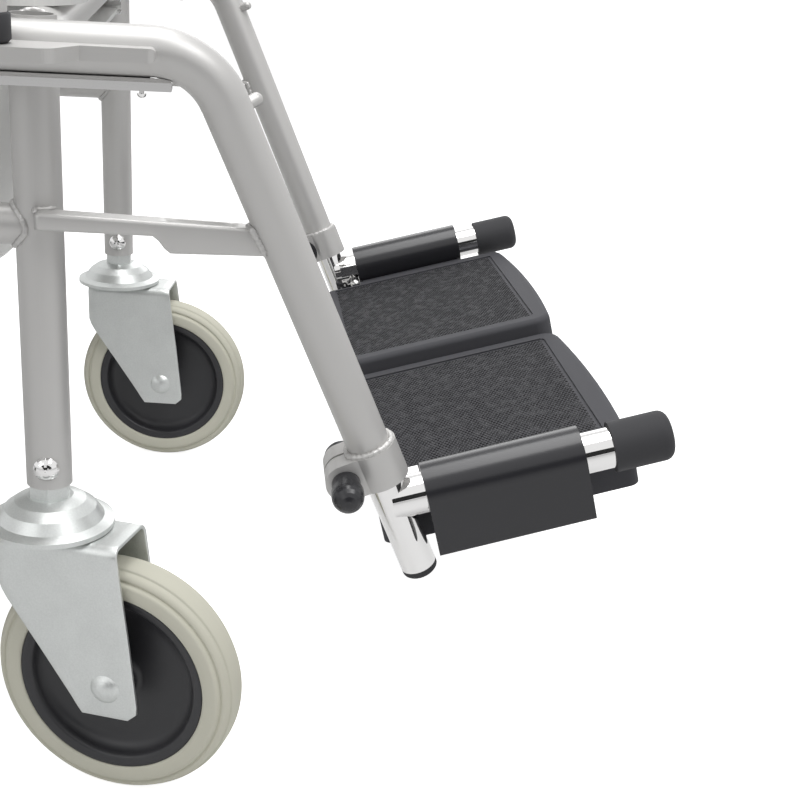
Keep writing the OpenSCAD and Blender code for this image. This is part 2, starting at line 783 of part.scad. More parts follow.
// Swivel bearing: riveted pin, dome, nut and the plug inside the post
dome_profile_shares = [[1, 0], [1, 0.16], [0.9, 0.24], [0.84, 0.28],
                       [0.72, 0.62], [0.56, 0.86], [0.36, 1], [0, 1]];
pin_head_d_share = 1.5;
pin_head_h = 3;
stem_plug_h = 30;

module swivel_bearing() {
    base = fork_top + gap;
    low = fork_top - fork_t - gap;
    difference() {
        union() {
            translate([0, 0, base]) rotate_extrude() polygon(concat([[0, 0]],
                [for (p = dome_profile_shares) [dome_d / 2 * p[0], dome_h * p[1]]]));
            translate([0, 0, low - cut]) cylinder(d = stem_d, h = base - low + 2 * cut);
            translate([0, 0, low - pin_head_h]) cylinder(d = stem_d * pin_head_d_share, h = pin_head_h);
            translate([0, 0, base + dome_h]) cylinder(d = stem_d * 2, h = stem_nut_h, $fn = 6);
            translate([0, 0, post_bottom - cut]) cylinder(r = inner_r, h = stem_plug_h + cut);
        }
        translate([0, 0, stem_bolt_h]) rotate([0, 90, 0])
            cylinder(d = stem_bolt_d, h = 2 * tube_d, center = true);
    }
}

module swivel_bearings() {
    color(zinc) for (side = [RIGHT, LEFT], y = [post_y, rear_y]) castor_place(side, y, 0) swivel_bearing();
}

module brake_pedal(side, turn) {
    color(charcoal) castor_place(side, rear_y, turn) at_pedal() difference() {
        across(pedal_w) union() {
            circle(r = pedal_hub_r);
            polygon(rounded([[0, pedal_hub_r - pedal_in], [0, pedal_hub_r - pedal_in - pedal_t],
                             [-pedal_l, -pedal_t * 2], [-pedal_l, -pedal_t / 2]],
                            [0, 0, pedal_t / 3, pedal_t / 3]));
        }
        rotate([0, 90, 0]) cylinder(d = pedal_pin_d + 2 * running, h = fork_w, center = true);
    }
}

// Pan rails, pan and lid

pan_rail_over = 10;
flange_t = 3;
flange_z = pan_rail_h + pan_rail_t + gap;
flange_l = 350;
pan_taper_share = 0.78;
strip_ahead = 71;
strip_w = 14;
strip_h = 6.2;
strip_edge = 1.8;
strip_bolt_front = 56;
strip_bolt_rear = 40;
strip_bolt_ys = [post_y - strip_bolt_front, (post_y + rear_y) / 2, rear_y - strip_bolt_rear];

module pan_rails() {
    w = pan_rail_w;
    h = pan_rail_high;
    t = pan_rail_t;
    color(chrome) for (side = [RIGHT, LEFT]) sided(side)
        translate([pan_rails_w / 2 - w, rear_y + pan_rail_over, pan_rail_h])
            forward(wheelbase + 2 * pan_rail_over)
                polygon([[0, 0], [w, 0], [w, h], [0, h], [0, h - t], [w - t, h - t], [w - t, t], [0, t]]);
}

module pan() {
    r = pan_d / 2;
    low_r = r * pan_taper_share;
    color(white_plastic) translate([0, hole_mid, flange_z]) union() {
        difference() {
            linear_extrude(flange_t)
                polygon(rounded(box_outline(pan_rails_w - 2 * pan_rail_t - 2 * gap, flange_l), pan_rail_w));
            translate([0, 0, -cut]) cylinder(r = r, h = flange_t + 2 * cut);
        }
        rotate_extrude($fn = 96) polygon([
            [0, -pan_deep], [low_r - pan_wall * 2, -pan_deep], [low_r, pan_wall * 2 - pan_deep],
            [r, 0], [r + pan_wall, 0],
            [r + pan_wall, flange_t], [r - pan_wall, flange_t], [low_r - pan_wall, pan_wall * 3 - pan_deep],
            [low_r - pan_wall * 3, pan_wall - pan_deep], [0, pan_wall - pan_deep]]);
    }
}

// Flat chromed strips bolted under the seat rails
module rail_strips() {
    w = strip_w / 2;
    color(chrome) for (side = [RIGHT, LEFT]) sided(side) difference() {
        translate([rail_x, rear_y + tube_r, rail_h - tube_r - strip_h])
            forward(wheelbase + tube_r + strip_ahead)
                polygon([[-w, 0], [w, 0], [w, strip_h - strip_edge], [w - strip_edge, strip_h], [-w, strip_h]]);
        elbow(frame_path[0], frame_path[1], frame_path[2], bend_r, tube_r + joint_step + gap);
    }
}

// Seat

seat_clear = 4;
ledge = 12;
seat_front = post_y - seat_ahead;
seat_back = rear_y - tube_r - seat_clear;
seat_deep = seat_back - seat_front;
seat_mid = (seat_front + seat_back) / 2;
hole_mid_share = 0.47;
hole_mid = seat_front + seat_deep * hole_mid_share;
board_z = rail_h + tube_r;
cushion_z = board_z + board_t + gap;
loop_steps = 48;
seat_square = 5;
hole_square = 2.4;

function power(v, e) = sign(v) * pow(abs(v), 2 / e);
// Points of a rounded square of sides w and l, squarer as e grows
function loop(w, l, e, y = 0) =
    [for (i = [0:loop_steps - 1])
        let (a = 360 * i / loop_steps)
        [w / 2 * power(cos(a), e), y + l / 2 * power(sin(a), e)]];

// A pad lofted through rings, each a share of the way from the inner loop to the outer one and its height
module ring_pad(outer, inner, rings, h) {
    n = len(outer);
    k = len(rings);
    points = [for (ring = rings, i = [0:n - 1])
        let (p = inner[i] + (outer[i] - inner[i]) * ring[0]) [p.x, p.y, h * ring[1]]];
    faces = [for (j = [0:k - 1], i = [0:n - 1])
        let (a = j * n + i, b = j * n + (i + 1) % n, c = (j + 1) % k * n + (i + 1) % n, d = (j + 1) % k * n + i)
        each [[a, c, b], [a, d, c]]];
    polyhedron(points = points, faces = faces, convexity = 6);
}

// A closed pad lofted through rings that shrink towards its middle
module crown_pad(outer, rings, h, middle) {
    n = len(outer);
    k = len(rings);
    points = concat([for (ring = rings, i = [0:n - 1])
        let (p = middle + (outer[i] - middle) * ring[0]) [p.x, p.y, h * ring[1]]],
        [[middle.x, middle.y, 0], [middle.x, middle.y, h]]);
    faces = concat(
        [for (j = [0:k - 2], i = [0:n - 1])
            let (a = j * n + i, b = j * n + (i + 1) % n) each [[a, b + n, b], [a, a + n, b + n]]],
        [for (i = [0:n - 1]) [i, (i + 1) % n, k * n]],
        [for (i = [0:n - 1]) [(k - 1) * n + (i + 1) % n, (k - 1) * n + i, k * n + 1]]);
    polyhedron(points = points, faces = faces, convexity = 6);
}

seat_ring_shares = [[0.97, 0], [1, 0.3], [0.995, 0.6], [0.95, 0.86], [0.82, 0.97], [0.5, 1],
                    [0.22, 0.95], [0.08, 0.82], [0.02, 0.55], [0, 0.3], [0.02, 0]];
crown_ring_shares = [[0.97, 0], [1, 0.3], [0.995, 0.55], [0.96, 0.8], [0.88, 0.92], [0.6, 0.98], [0.3, 1]];

module seat_board() {
    color(white_plastic) translate([0, 0, board_z]) difference() {
        translate([0, seat_mid, 0]) linear_extrude(board_t)
            polygon(rounded(box_outline(seat_w - cushion_t, seat_deep - board_t), cushion_t));
        translate([0, 0, -cut]) linear_extrude(board_t + 2 * cut)
            polygon(loop(opening_w - 2 * ledge, opening_l - 2 * ledge, hole_square, hole_mid));
    }
}

module seat_cushion() {
    color(seat_black) translate([0, 0, cushion_z])
        ring_pad(loop(seat_w, seat_deep, seat_square, seat_mid),
                 loop(opening_w, opening_l, hole_square, hole_mid), seat_ring_shares, cushion_t);
}

plug_gap = 3;

module seat_plug() {
    color(seat_black) translate([0, 0, board_z + board_t])
        crown_pad(loop(opening_w - 2 * plug_gap, opening_l - 2 * plug_gap, hole_square, hole_mid),
                  crown_ring_shares, cushion_t + plug_gap, [0, hole_mid]);
}

// Backrest

back_square = 6;

module backrest() {
    color(seat_black) translate([0, rear_y - tube_r, back_h + back_high / 2]) rotate([90, 0, 0])
        crown_pad(loop(back_w, back_high, back_square), crown_ring_shares, back_t, [0, 0]);
}

// Armrests

arm_r = side_tube_d / 2;
arm_front_y = post_y + arm_bar_behind / 2;
arm_bend_r = 60;
arm_foot_h = 14;
arm_foot_wall = 1.5;
arm_x = rail_x + tube_r + arm_r + arm_foot_wall + gap;
arm_eye_r = 15;
arm_eye_w = side_tube_d + 2 * gap;
pad_in = 7;
arm_low = rail_h + arm_bar_h / 2 + gap;
pad_behind = 40;
pad_square = 7;

module arm_tube(side) {
    pivot = [arm_x, rear_y, arm_h];
    path = [pivot, [arm_x, arm_front_y, arm_h], [arm_x, arm_front_y, arm_low + arm_foot_wall]];
    color(grey_paint) sided(side) difference() {
        union() {
            bent_rod(path, arm_bend_r, arm_r);
            translate(pivot) rotate([0, 90, 0]) cylinder(r = arm_eye_r, h = arm_eye_w, center = true);
        }
        bent_rod([pivot - [0, arm_eye_r + cut, 0], path[1], path[2] - [0, 0, cut]],
                 arm_bend_r, arm_r - tube_wall);
        translate(pivot) rotate([0, 90, 0])
            cylinder(d = arm_pin_d + 2 * running, h = side_tube_d + 2 * cut, center = true);
    }
}

module arm_pad(side) {
    color(black) sided(side) {
        translate([arm_x - pad_in, rear_y - pad_behind - pad_l / 2, arm_h + arm_r + gap])
            crown_pad(loop(pad_w, pad_l, pad_square), crown_ring_shares, pad_t, [0, 0]);
        translate([arm_x, arm_front_y, arm_low])
            closed_cap(side_tube_d + 2 * arm_foot_wall, side_tube_d, arm_foot_h,
                       arm_foot_wall, arm_foot_wall);
    }
}

// Handle grips

grip_wall = 4;
grip_rings = 9;
grip_groove = 1;
grip_bands_share = 0.7;
grip_start_share = 0.12;

module handle_grip(side) {
    bands = [for (i = [1:grip_rings]) grip_l * (grip_start_share + grip_bands_share * i / grip_rings)];
    color(black) sided(side)
        translate([post_x, rear_y + handle_reach, handle_h]) rotate([90, 0, 0]) difference() {
            closed_cap(grip_d, tube_d, grip_l, grip_wall, grip_wall);
            for (z = bands) translate([0, 0, z])
                rotate_extrude() translate([grip_d / 2, 0]) circle(r = grip_groove);
        }
}

// Bolts and screws

head_h = 4;
pan_bolt_d = 5;
strip_bolt_h = 2;

module bolt_across(x0, x1, y, z, d) {
    translate([x0, y, z]) rotate([0, 90, 0]) {
        cylinder(d = d, h = x1 - x0);
        translate([0, 0, x1 - x0]) domed_head(d * axle_head_share, head_h);
        rotate([180, 0, 0]) domed_head(d * axle_head_share, head_h);
    }
}

module small_fittings() {
    rail_mid = pan_rails_w / 2 - pan_rail_w / 2;
    eye_in = arm_x - arm_eye_w / 2 - gap;
    color(chrome) for (side = [RIGHT, LEFT]) sided(side) {
        for (y = [post_y, rear_y]) {
            bolt_across(post_x - tube_r, post_x + tube_r, y, stem_bolt_h, stem_bolt_d);
            // Hanger screws of the pan rails
            translate([rail_mid, y, pan_rail_h + pan_rail_high])
                cylinder(d = pan_bolt_d * 2, h = rail_h - tube_r - gap - pan_rail_h - pan_rail_high);
        }
        for (y = strip_bolt_ys) translate([rail_x, y, rail_h - tube_r - strip_h]) rotate([180, 0, 0]) {
            cylinder(d = pan_bolt_d / 2, h = strip_bolt_h);
            translate([0, 0, strip_bolt_h]) domed_head(pan_bolt_d / 2, pan_bolt_d / 2);
        }
        // Pivot bolt of the armrest with its spacer
        bolt_across(post_x - tube_r, arm_x + arm_eye_w / 2 + gap, rear_y, arm_h, arm_pin_d);
        difference() {
            translate([post_x, rear_y, arm_h]) rotate([0, 90, 0])
                cylinder(d = arm_pin_d * 2, h = eye_in - post_x);
            translate([post_x, rear_y, arm_h - tube_d]) cylinder(r = tube_r, h = 2 * tube_d);
        }
        for (z = back_screw_zs) translate([post_x, rear_y + tube_r, z]) rotate([-90, 0, 0]) {
            domed_head(back_screw_d * axle_head_share, head_h);
            rotate([180, 0, 0]) cylinder(d = back_screw_d, h = tube_d);
        }
    }
}

side_frame(RIGHT);  // side_frame_right
side_frame(LEFT);  // side_frame_left
front_post(RIGHT);  // front_post_right
front_post(LEFT);  // front_post_left
rear_post(RIGHT);  // rear_post_right
rear_post(LEFT);  // rear_post_left
cross_tube(post_y);  // front_cross_tube
cross_tube(rear_y);  // rear_cross_tube
lower_side_tube(RIGHT);  // lower_side_tube_right
lower_side_tube(LEFT);  // lower_side_tube_left
front_brace(RIGHT);  // front_brace_right
front_brace(LEFT);  // front_brace_left
clamp_collar(RIGHT);  // clamp_collar_right
clamp_collar(LEFT);  // clamp_collar_left
clamp_knob(RIGHT);  // clamp_knob_right
clamp_knob(LEFT);  // clamp_knob_left
clamp_nuts();
foot_tube(RIGHT);  // foot_tube_right
foot_tube(LEFT);  // foot_tube_left
foot_tube_caps(RIGHT);  // foot_tube_caps_right
foot_tube_caps(LEFT);  // foot_tube_caps_left
hinge_barrel(RIGHT);  // hinge_barrel_right
hinge_barrel(LEFT);  // hinge_barrel_left
footplate(RIGHT);  // footplate_right
footplate(LEFT);  // footplate_left
plate_stop(RIGHT);  // plate_stop_right
plate_stop(LEFT);  // plate_stop_left
castor_fork(RIGHT, post_y, turn_front_right, false);  // castor_fork_front_right
castor_fork(LEFT, post_y, turn_front_left, false);  // castor_fork_front_left
castor_fork(RIGHT, rear_y, turn_rear_right, true);  // castor_fork_rear_right
castor_fork(LEFT, rear_y, turn_rear_left, true);  // castor_fork_rear_left
castor_axle(RIGHT, post_y, turn_front_right, false);  // castor_axle_front_right
castor_axle(LEFT, post_y, turn_front_left, false);  // castor_axle_front_left
castor_axle(RIGHT, rear_y, turn_rear_right, true);  // castor_axle_rear_right
castor_axle(LEFT, rear_y, turn_rear_left, true);  // castor_axle_rear_left
castor_hub(RIGHT, post_y, turn_front_right);  // castor_hub_front_right
castor_hub(LEFT, post_y, turn_front_left);  // castor_hub_front_left
castor_hub(RIGHT, rear_y, turn_rear_right);  // castor_hub_rear_right
castor_hub(LEFT, rear_y, turn_rear_left);  // castor_hub_rear_left
castor_tyre(RIGHT, post_y, turn_front_right);  // castor_tyre_front_right
castor_tyre(LEFT, post_y, turn_front_left);  // castor_tyre_front_left
castor_tyre(RIGHT, rear_y, turn_rear_right);  // castor_tyre_rear_right
castor_tyre(LEFT, rear_y, turn_rear_left);  // castor_tyre_rear_left
swivel_bearings();
brake_pedal(RIGHT, turn_rear_right);  // brake_pedal_right
brake_pedal(LEFT, turn_rear_left);  // brake_pedal_left
pan_rails();
pan();
rail_strips();
seat_board();
seat_cushion();
seat_plug();
backrest();
arm_tube(RIGHT);  // arm_tube_right
arm_tube(LEFT);  // arm_tube_left
arm_pad(RIGHT);  // arm_pad_right
arm_pad(LEFT);  // arm_pad_left
handle_grip(RIGHT);  // handle_grip_right
handle_grip(LEFT);  // handle_grip_left
small_fittings();
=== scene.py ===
"""Looks of the wheeled commode chair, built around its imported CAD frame.

Lengths are in metres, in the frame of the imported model: +Z is up, -Y is the front of the chair
and +X is the sitter's left. The camera stands where the photograph was taken from.
"""

import json
import logging
import math
import random
from dataclasses import dataclass, field
from enum import Enum
from typing import Callable, Iterable, Iterator, Sequence

import bmesh
import bpy
from mathutils import Matrix, Vector, noise
from mathutils.bvhtree import BVHTree


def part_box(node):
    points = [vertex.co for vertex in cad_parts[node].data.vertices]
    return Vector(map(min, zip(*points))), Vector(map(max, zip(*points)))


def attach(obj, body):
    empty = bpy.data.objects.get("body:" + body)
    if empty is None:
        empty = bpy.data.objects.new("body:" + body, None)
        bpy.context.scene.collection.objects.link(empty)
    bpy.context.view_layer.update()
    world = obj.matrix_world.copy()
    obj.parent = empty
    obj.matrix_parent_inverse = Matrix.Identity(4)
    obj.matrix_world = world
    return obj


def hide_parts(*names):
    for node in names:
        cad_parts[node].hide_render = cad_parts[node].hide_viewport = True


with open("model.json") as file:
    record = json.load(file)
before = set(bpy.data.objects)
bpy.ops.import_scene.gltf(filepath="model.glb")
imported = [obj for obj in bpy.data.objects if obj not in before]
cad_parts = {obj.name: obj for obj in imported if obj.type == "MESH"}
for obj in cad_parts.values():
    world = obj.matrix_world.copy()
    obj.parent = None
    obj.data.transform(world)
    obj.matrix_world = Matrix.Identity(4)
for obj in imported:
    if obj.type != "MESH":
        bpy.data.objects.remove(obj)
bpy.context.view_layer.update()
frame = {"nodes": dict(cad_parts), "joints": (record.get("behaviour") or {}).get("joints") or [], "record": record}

log = logging.getLogger("commode_chair")

Colour = tuple[float, float, float]
Section = Sequence[tuple[float, float]]

ACROSS = Vector((1, 0, 0))
REARWARD = Vector((0, 1, 0))
UPWARD = Vector((0, 0, 1))

# At rest the left footplate stands folded up by this much, in radians.
PLATE_FOLD = math.radians(2.2)


class Side(Enum):
    """Which side of the chair a piece is on, by the sitter's hand."""

    RIGHT = -1
    LEFT = 1

    @property
    def word(self) -> str:
        """The side's name as the nodes and bodies write it."""
        return self.name.lower()


class End(Enum):
    """Which end of the chair a castor is at."""

    FRONT = "front"
    REAR = "rear"


# Places taken from the frame


def joint(name: str) -> dict:
    """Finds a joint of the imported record.

    Args:
        name: The joint's name.

    Returns:
        The joint's entry.
    """
    return next(j for j in frame["joints"] if j["name"] == name)


def node_centre(name: str) -> Vector:
    """Returns the centre of a CAD node's box."""
    low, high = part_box(name)
    return (low + high) / 2


@dataclass(frozen=True)
class Local:
    """A right-handed or mirrored local frame: out, along and up from an origin."""

    origin: Vector
    out: Vector
    along: Vector
    up: Vector

    def at(self, out: float, along: float, up: float) -> Vector:
        """Returns the row-frame place of a local one."""
        return self.origin + self.out * out + self.along * along + self.up * up


def foot_frame(side: Side) -> Local:
    """Gives the frame of a foot tube.

    Args:
        side: Side of the chair.

    Returns:
        The frame. Along runs forward on the tube's axis, from where it meets the leg's axis.
    """
    hinge = joint(f"footplate_flip_{side.word}")
    along = Vector(hinge["axis"]) * -side.value
    return Local(Vector(hinge["pos_m"]), ACROSS * side.value, along, Vector((0, along.z, -along.y)))


def plate_frame(side: Side) -> Local:
    """Gives the frame of a footplate: its foot tube's, turned about the tube by the plate's fold.

    Args:
        side: Side of the chair.

    Returns:
        The frame.
    """
    foot = foot_frame(side)
    fold = PLATE_FOLD if side is Side.LEFT else 0.0
    out = foot.out * math.cos(fold) - foot.up * math.sin(fold)
    up = foot.up * math.cos(fold) + foot.out * math.sin(fold)
    return Local(foot.origin, out, foot.along, up)


def leg_frame(side: Side) -> Local:
    """Gives the frame of a leg tube.

    Args:
        side: Side of the chair.

    Returns:
        The frame. Along runs down the tube's axis, from where the foot tube's axis meets it.
    """
    along = Vector(joint(f"footrest_height_{side.word}")["axis"])
    out = ACROSS * side.value
    out = (out - along * out.dot(along)).normalized()
    up = out.cross(along) * side.value
    if up.y > 0:
        up = -up
    return Local(Vector(joint(f"footplate_flip_{side.word}")["pos_m"]), out, along, up)


def wheel_frame(end: End, side: Side) -> Local:
    """Gives the frame of a wheel.

    Args:
        end: End of the chair.
        side: Side of the chair.

    Returns:
        The frame. Out runs along the axle, away from the chair's middle.
    """
    roll = joint(f"wheel_roll_{end.value}_{side.word}")
    out = Vector(roll["axis"]) * side.value
    along = Vector((out.y, -out.x, 0)) * side.value
    return Local(Vector(roll["pos_m"]), out, along, UPWARD)


# Mesh making


def turns(count: int) -> Iterator[tuple[float, float]]:
    """Steps evenly round a full turn.

    Args:
        count: Number of steps.

    Yields:
        The cosine and the sine of each step.
    """
    for i in range(count):
        turn = 2 * math.pi * i / count
        yield math.cos(turn), math.sin(turn)


def new_piece(name: str, verts: Iterable[Vector], faces: Iterable[Sequence[int]],
              smooth: bool = True) -> bpy.types.Object:
    """Makes an object from corners and faces.

    Args:
        name: The piece's name.
        verts: Its corners.
        faces: Its faces, as indices of corners.
        smooth: Whether its faces are shaded smooth.

    Returns:
        The new object, linked to the scene.
    """
    mesh = bpy.data.meshes.new(name)
    mesh.from_pydata([tuple(v) for v in verts], [], [tuple(f) for f in faces])
    bm = bmesh.new()
    bm.from_mesh(mesh)
    bmesh.ops.recalc_face_normals(bm, faces=bm.faces)
    bm.to_mesh(mesh)
    bm.free()
    for polygon in mesh.polygons:
        polygon.use_smooth = smooth
    return linked(bpy.data.objects.new(name, mesh))


def linked(thing: bpy.types.Object) -> bpy.types.Object:
    """Links an object to the scene and returns it."""
    bpy.context.scene.collection.objects.link(thing)
    return thing


def apply_modifiers(piece: bpy.types.Object) -> bpy.types.Object:
    """Replaces a piece's mesh by the result of its modifiers.

    Args:
        piece: The piece to change.

    Returns:
        The same piece.
    """
    depsgraph = bpy.context.evaluated_depsgraph_get()
    mesh = bpy.data.meshes.new_from_object(piece.evaluated_get(depsgraph))
    old = piece.data
    piece.modifiers.clear()
    piece.data = mesh
    bpy.data.meshes.remove(old)
    return piece


def subdivided(piece: bpy.types.Object, levels: int) -> bpy.types.Object:
    """Smooths a piece with a subdivision surface.

    Args:
        piece: The piece to change.
        levels: How many times its faces are divided.

    Returns:
        The same piece.
    """
    modifier = piece.modifiers.new("subdivision", "SUBSURF")
    modifier.levels = levels
    modifier.render_levels = levels
    return apply_modifiers(piece)


def bevelled(piece: bpy.types.Object, width: float, segments: int = 2,
             angle: float = 0.6) -> bpy.types.Object:
    """Rounds a piece's sharp edges.

    Args:
        piece: The piece to change.
        width: Width of the rounding.
        segments: Steps of the rounding.
        angle: Least angle between faces, in radians, that is rounded.

    Returns:
        The same piece.
    """
    modifier = piece.modifiers.new("bevel", "BEVEL")
    modifier.width = width
    modifier.segments = segments
    modifier.limit_method = "ANGLE"
    modifier.angle_limit = angle
    modifier.harden_normals = False
    return apply_modifiers(piece)


def lofted(name: str, rings: Sequence[Sequence[Vector]], closed_ring: bool = True,
           capped: bool = True, looped: bool = False, shift: int = 0) -> bpy.types.Object:
    """Makes a skin through rings of equal count.

    Args:
        name: The piece's name.
        rings: The rings, in order.
        closed_ring: Whether each ring closes on itself.
        capped: Whether the first and last rings get a face.
        looped: Whether the last ring joins the first.
        shift: How many corners the last ring is turned against the first, where they join.

    Returns:
        The new piece.
    """
    count = len(rings[0])
    verts = [v for ring in rings for v in ring]
    faces = []
    for i in range(len(rings) if looped else len(rings) - 1):
        a, b = i * count, (i + 1) % len(rings) * count
        turned = 0 if b else shift
        for j in range(count if closed_ring else count - 1):
            k = (j + 1) % count
            faces.append((a + (j + turned) % count, a + (k + turned) % count, b + k, b + j))
    if capped and not looped:
        faces.append(tuple(range(count)))
        faces.append(tuple(len(verts) - count + i for i in range(count)))
    return new_piece(name, verts, faces)


def swept(name: str, path: Sequence[Vector], radii: Sequence[float], sides: int = 8,
          looped: bool = False) -> bpy.types.Object:
    """Makes a round rod along a path.

    Args:
        name: The piece's name.
        path: Points along the middle of the rod.
        radii: Its radius at each point.
        sides: Sides of its section.
        looped: Whether the path closes on itself.

    Returns:
        The new piece.
    """
    rings = []
    count = len(path)
    normal = Vector((0.3, 0.5, 0.81))
    for i, (point, radius) in enumerate(zip(path, radii)):
        ahead = path[(i + 1) % count] if looped or i < count - 1 else point
        behind = path[i - 1] if looped or i > 0 else point
        tangent = (ahead - behind).normalized()
        normal = (normal - tangent * normal.dot(tangent)).normalized()
        across = tangent.cross(normal)
        rings.append([point + (normal * c + across * s) * radius for c, s in turns(sides)])
    if not looped:
        return lofted(name, rings)
    shift = min(range(sides), key=lambda s: (rings[-1][s] - rings[0][0]).length)
    return lofted(name, rings, looped=True, shift=shift)


def turned_part(name: str, place: Local, profile: Section, steps: int = 64,
                closed: bool = False) -> bpy.types.Object:
    """Makes a lathe-turned piece about a local frame's out axis.

    Args:
        name: The piece's name.
        place: The local frame.
        profile: Radius and distance along the axis of each corner.
        steps: Steps round the axis.
        closed: Whether the profile joins its own start.

    Returns:
        The new piece.
    """
    rings = [[place.at(out, radius * c, radius * s) for radius, out in profile]
             for c, s in turns(steps)]
    return lofted(name, rings, closed_ring=closed, capped=False, looped=True)


def joined(name: str, parts: Sequence[bpy.types.Object]) -> bpy.types.Object:
    """Joins pieces into the first of them.

    Args:
        name: The new name of the first piece.
        parts: The pieces.

    Returns:
        The first piece.
    """
    first = parts[0]
    with bpy.context.temp_override(active_object=first, selected_editable_objects=list(parts)):
        bpy.ops.object.join()
    first.name = name
    return first


# Shader groups


def group_tree(name: str, inputs: Sequence[tuple[str, str, object]],
               outputs: Sequence[tuple[str, str]]
               ) -> tuple[bpy.types.ShaderNodeTree, bpy.types.Node, bpy.types.Node]:
    """Starts a shader node group.

    Args:
        name: The group's name.
        inputs: Name, socket type and default of each input.
        outputs: Name and socket type of each output.

    Returns:
        The tree with its input and output nodes.
    """
    tree = bpy.data.node_groups.new(name, "ShaderNodeTree")
    for label, kind, default in inputs:
        socket = tree.interface.new_socket(label, in_out="INPUT", socket_type=kind)
        socket.default_value = default
    for label, kind in outputs:
        tree.interface.new_socket(label, in_out="OUTPUT", socket_type=kind)
    return tree, tree.nodes.new("NodeGroupInput"), tree.nodes.new("NodeGroupOutput")


def feed(tree: bpy.types.NodeTree, target: bpy.types.NodeSocket, value: object) -> None:
    """Gives an input its value.

    Args:
        tree: The tree.
        target: The input's socket.
        value: A number, or an output socket to link it to.
    """
    if isinstance(value, bpy.types.NodeSocket):
        tree.links.new(value, target)
    else:
        target.default_value = value


def math_node(tree: bpy.types.NodeTree, operation: str, *values: object,
              clamp: bool = False) -> bpy.types.NodeSocket:
    """Adds a maths node to a tree.

    Args:
        tree: The tree.
        operation: The operation's name.
        values: Its inputs, as numbers or sockets.
        clamp: Whether the result is held between 0 and 1.

    Returns:
        The node's output socket.
    """
    node = tree.nodes.new("ShaderNodeMath")
    node.operation = operation
    node.use_clamp = clamp
    for target, value in zip(node.inputs, values):
        feed(tree, target, value)
    return node.outputs[0]


def stretched(tree: bpy.types.NodeTree, value: bpy.types.NodeSocket, start: float,
              gain: float) -> bpy.types.NodeSocket:
    """Stretches a value and holds it between 0 and 1.

    Args:
        tree: The tree.
        value: The value's socket.
        start: The value that becomes 0.
        gain: How much the rest is multiplied by.

    Returns:
        The stretched value's socket.
    """
    return math_node(tree, "MULTIPLY", math_node(tree, "SUBTRACT", value, start), gain, clamp=True)


def mix_colour(tree: bpy.types.NodeTree, amount: bpy.types.NodeSocket, low: bpy.types.NodeSocket,
               high: bpy.types.NodeSocket) -> bpy.types.NodeSocket:
    """Adds a colour mix to a tree.

    Args:
        tree: The tree.
        amount: How much of the second colour shows.
        low: First colour.
        high: Second colour.

    Returns:
        The mixed colour's socket.
    """
    node = tree.nodes.new("ShaderNodeMix")
    node.data_type = "RGBA"
    for index, value in ((0, amount), (6, low), (7, high)):
        tree.links.new(value, node.inputs[index])
    return node.outputs[2]


def noise_node(tree: bpy.types.NodeTree, vector: bpy.types.NodeSocket, scale: object,
               detail: float, roughness: float = 0.5) -> bpy.types.NodeSocket:
    """Adds a noise texture to a tree.

    Args:
        tree: The tree.
        vector: Where it is read.
        scale: Its scale, a number or a socket.
        detail: Its detail.
        roughness: Its roughness.

    Returns:
        Its value's socket.
    """
    node = tree.nodes.new("ShaderNodeTexNoise")
    node.inputs["Detail"].default_value = detail
    node.inputs["Roughness"].default_value = roughness
    feed(tree, node.inputs["Scale"], scale)
    tree.links.new(vector, node.inputs["Vector"])
    return node.outputs["Fac"]


def object_vector(tree: bpy.types.NodeTree) -> bpy.types.NodeSocket:
    """Returns the object coordinates of a tree, in metres."""
    return tree.nodes.new("ShaderNodeTexCoord").outputs["Object"]


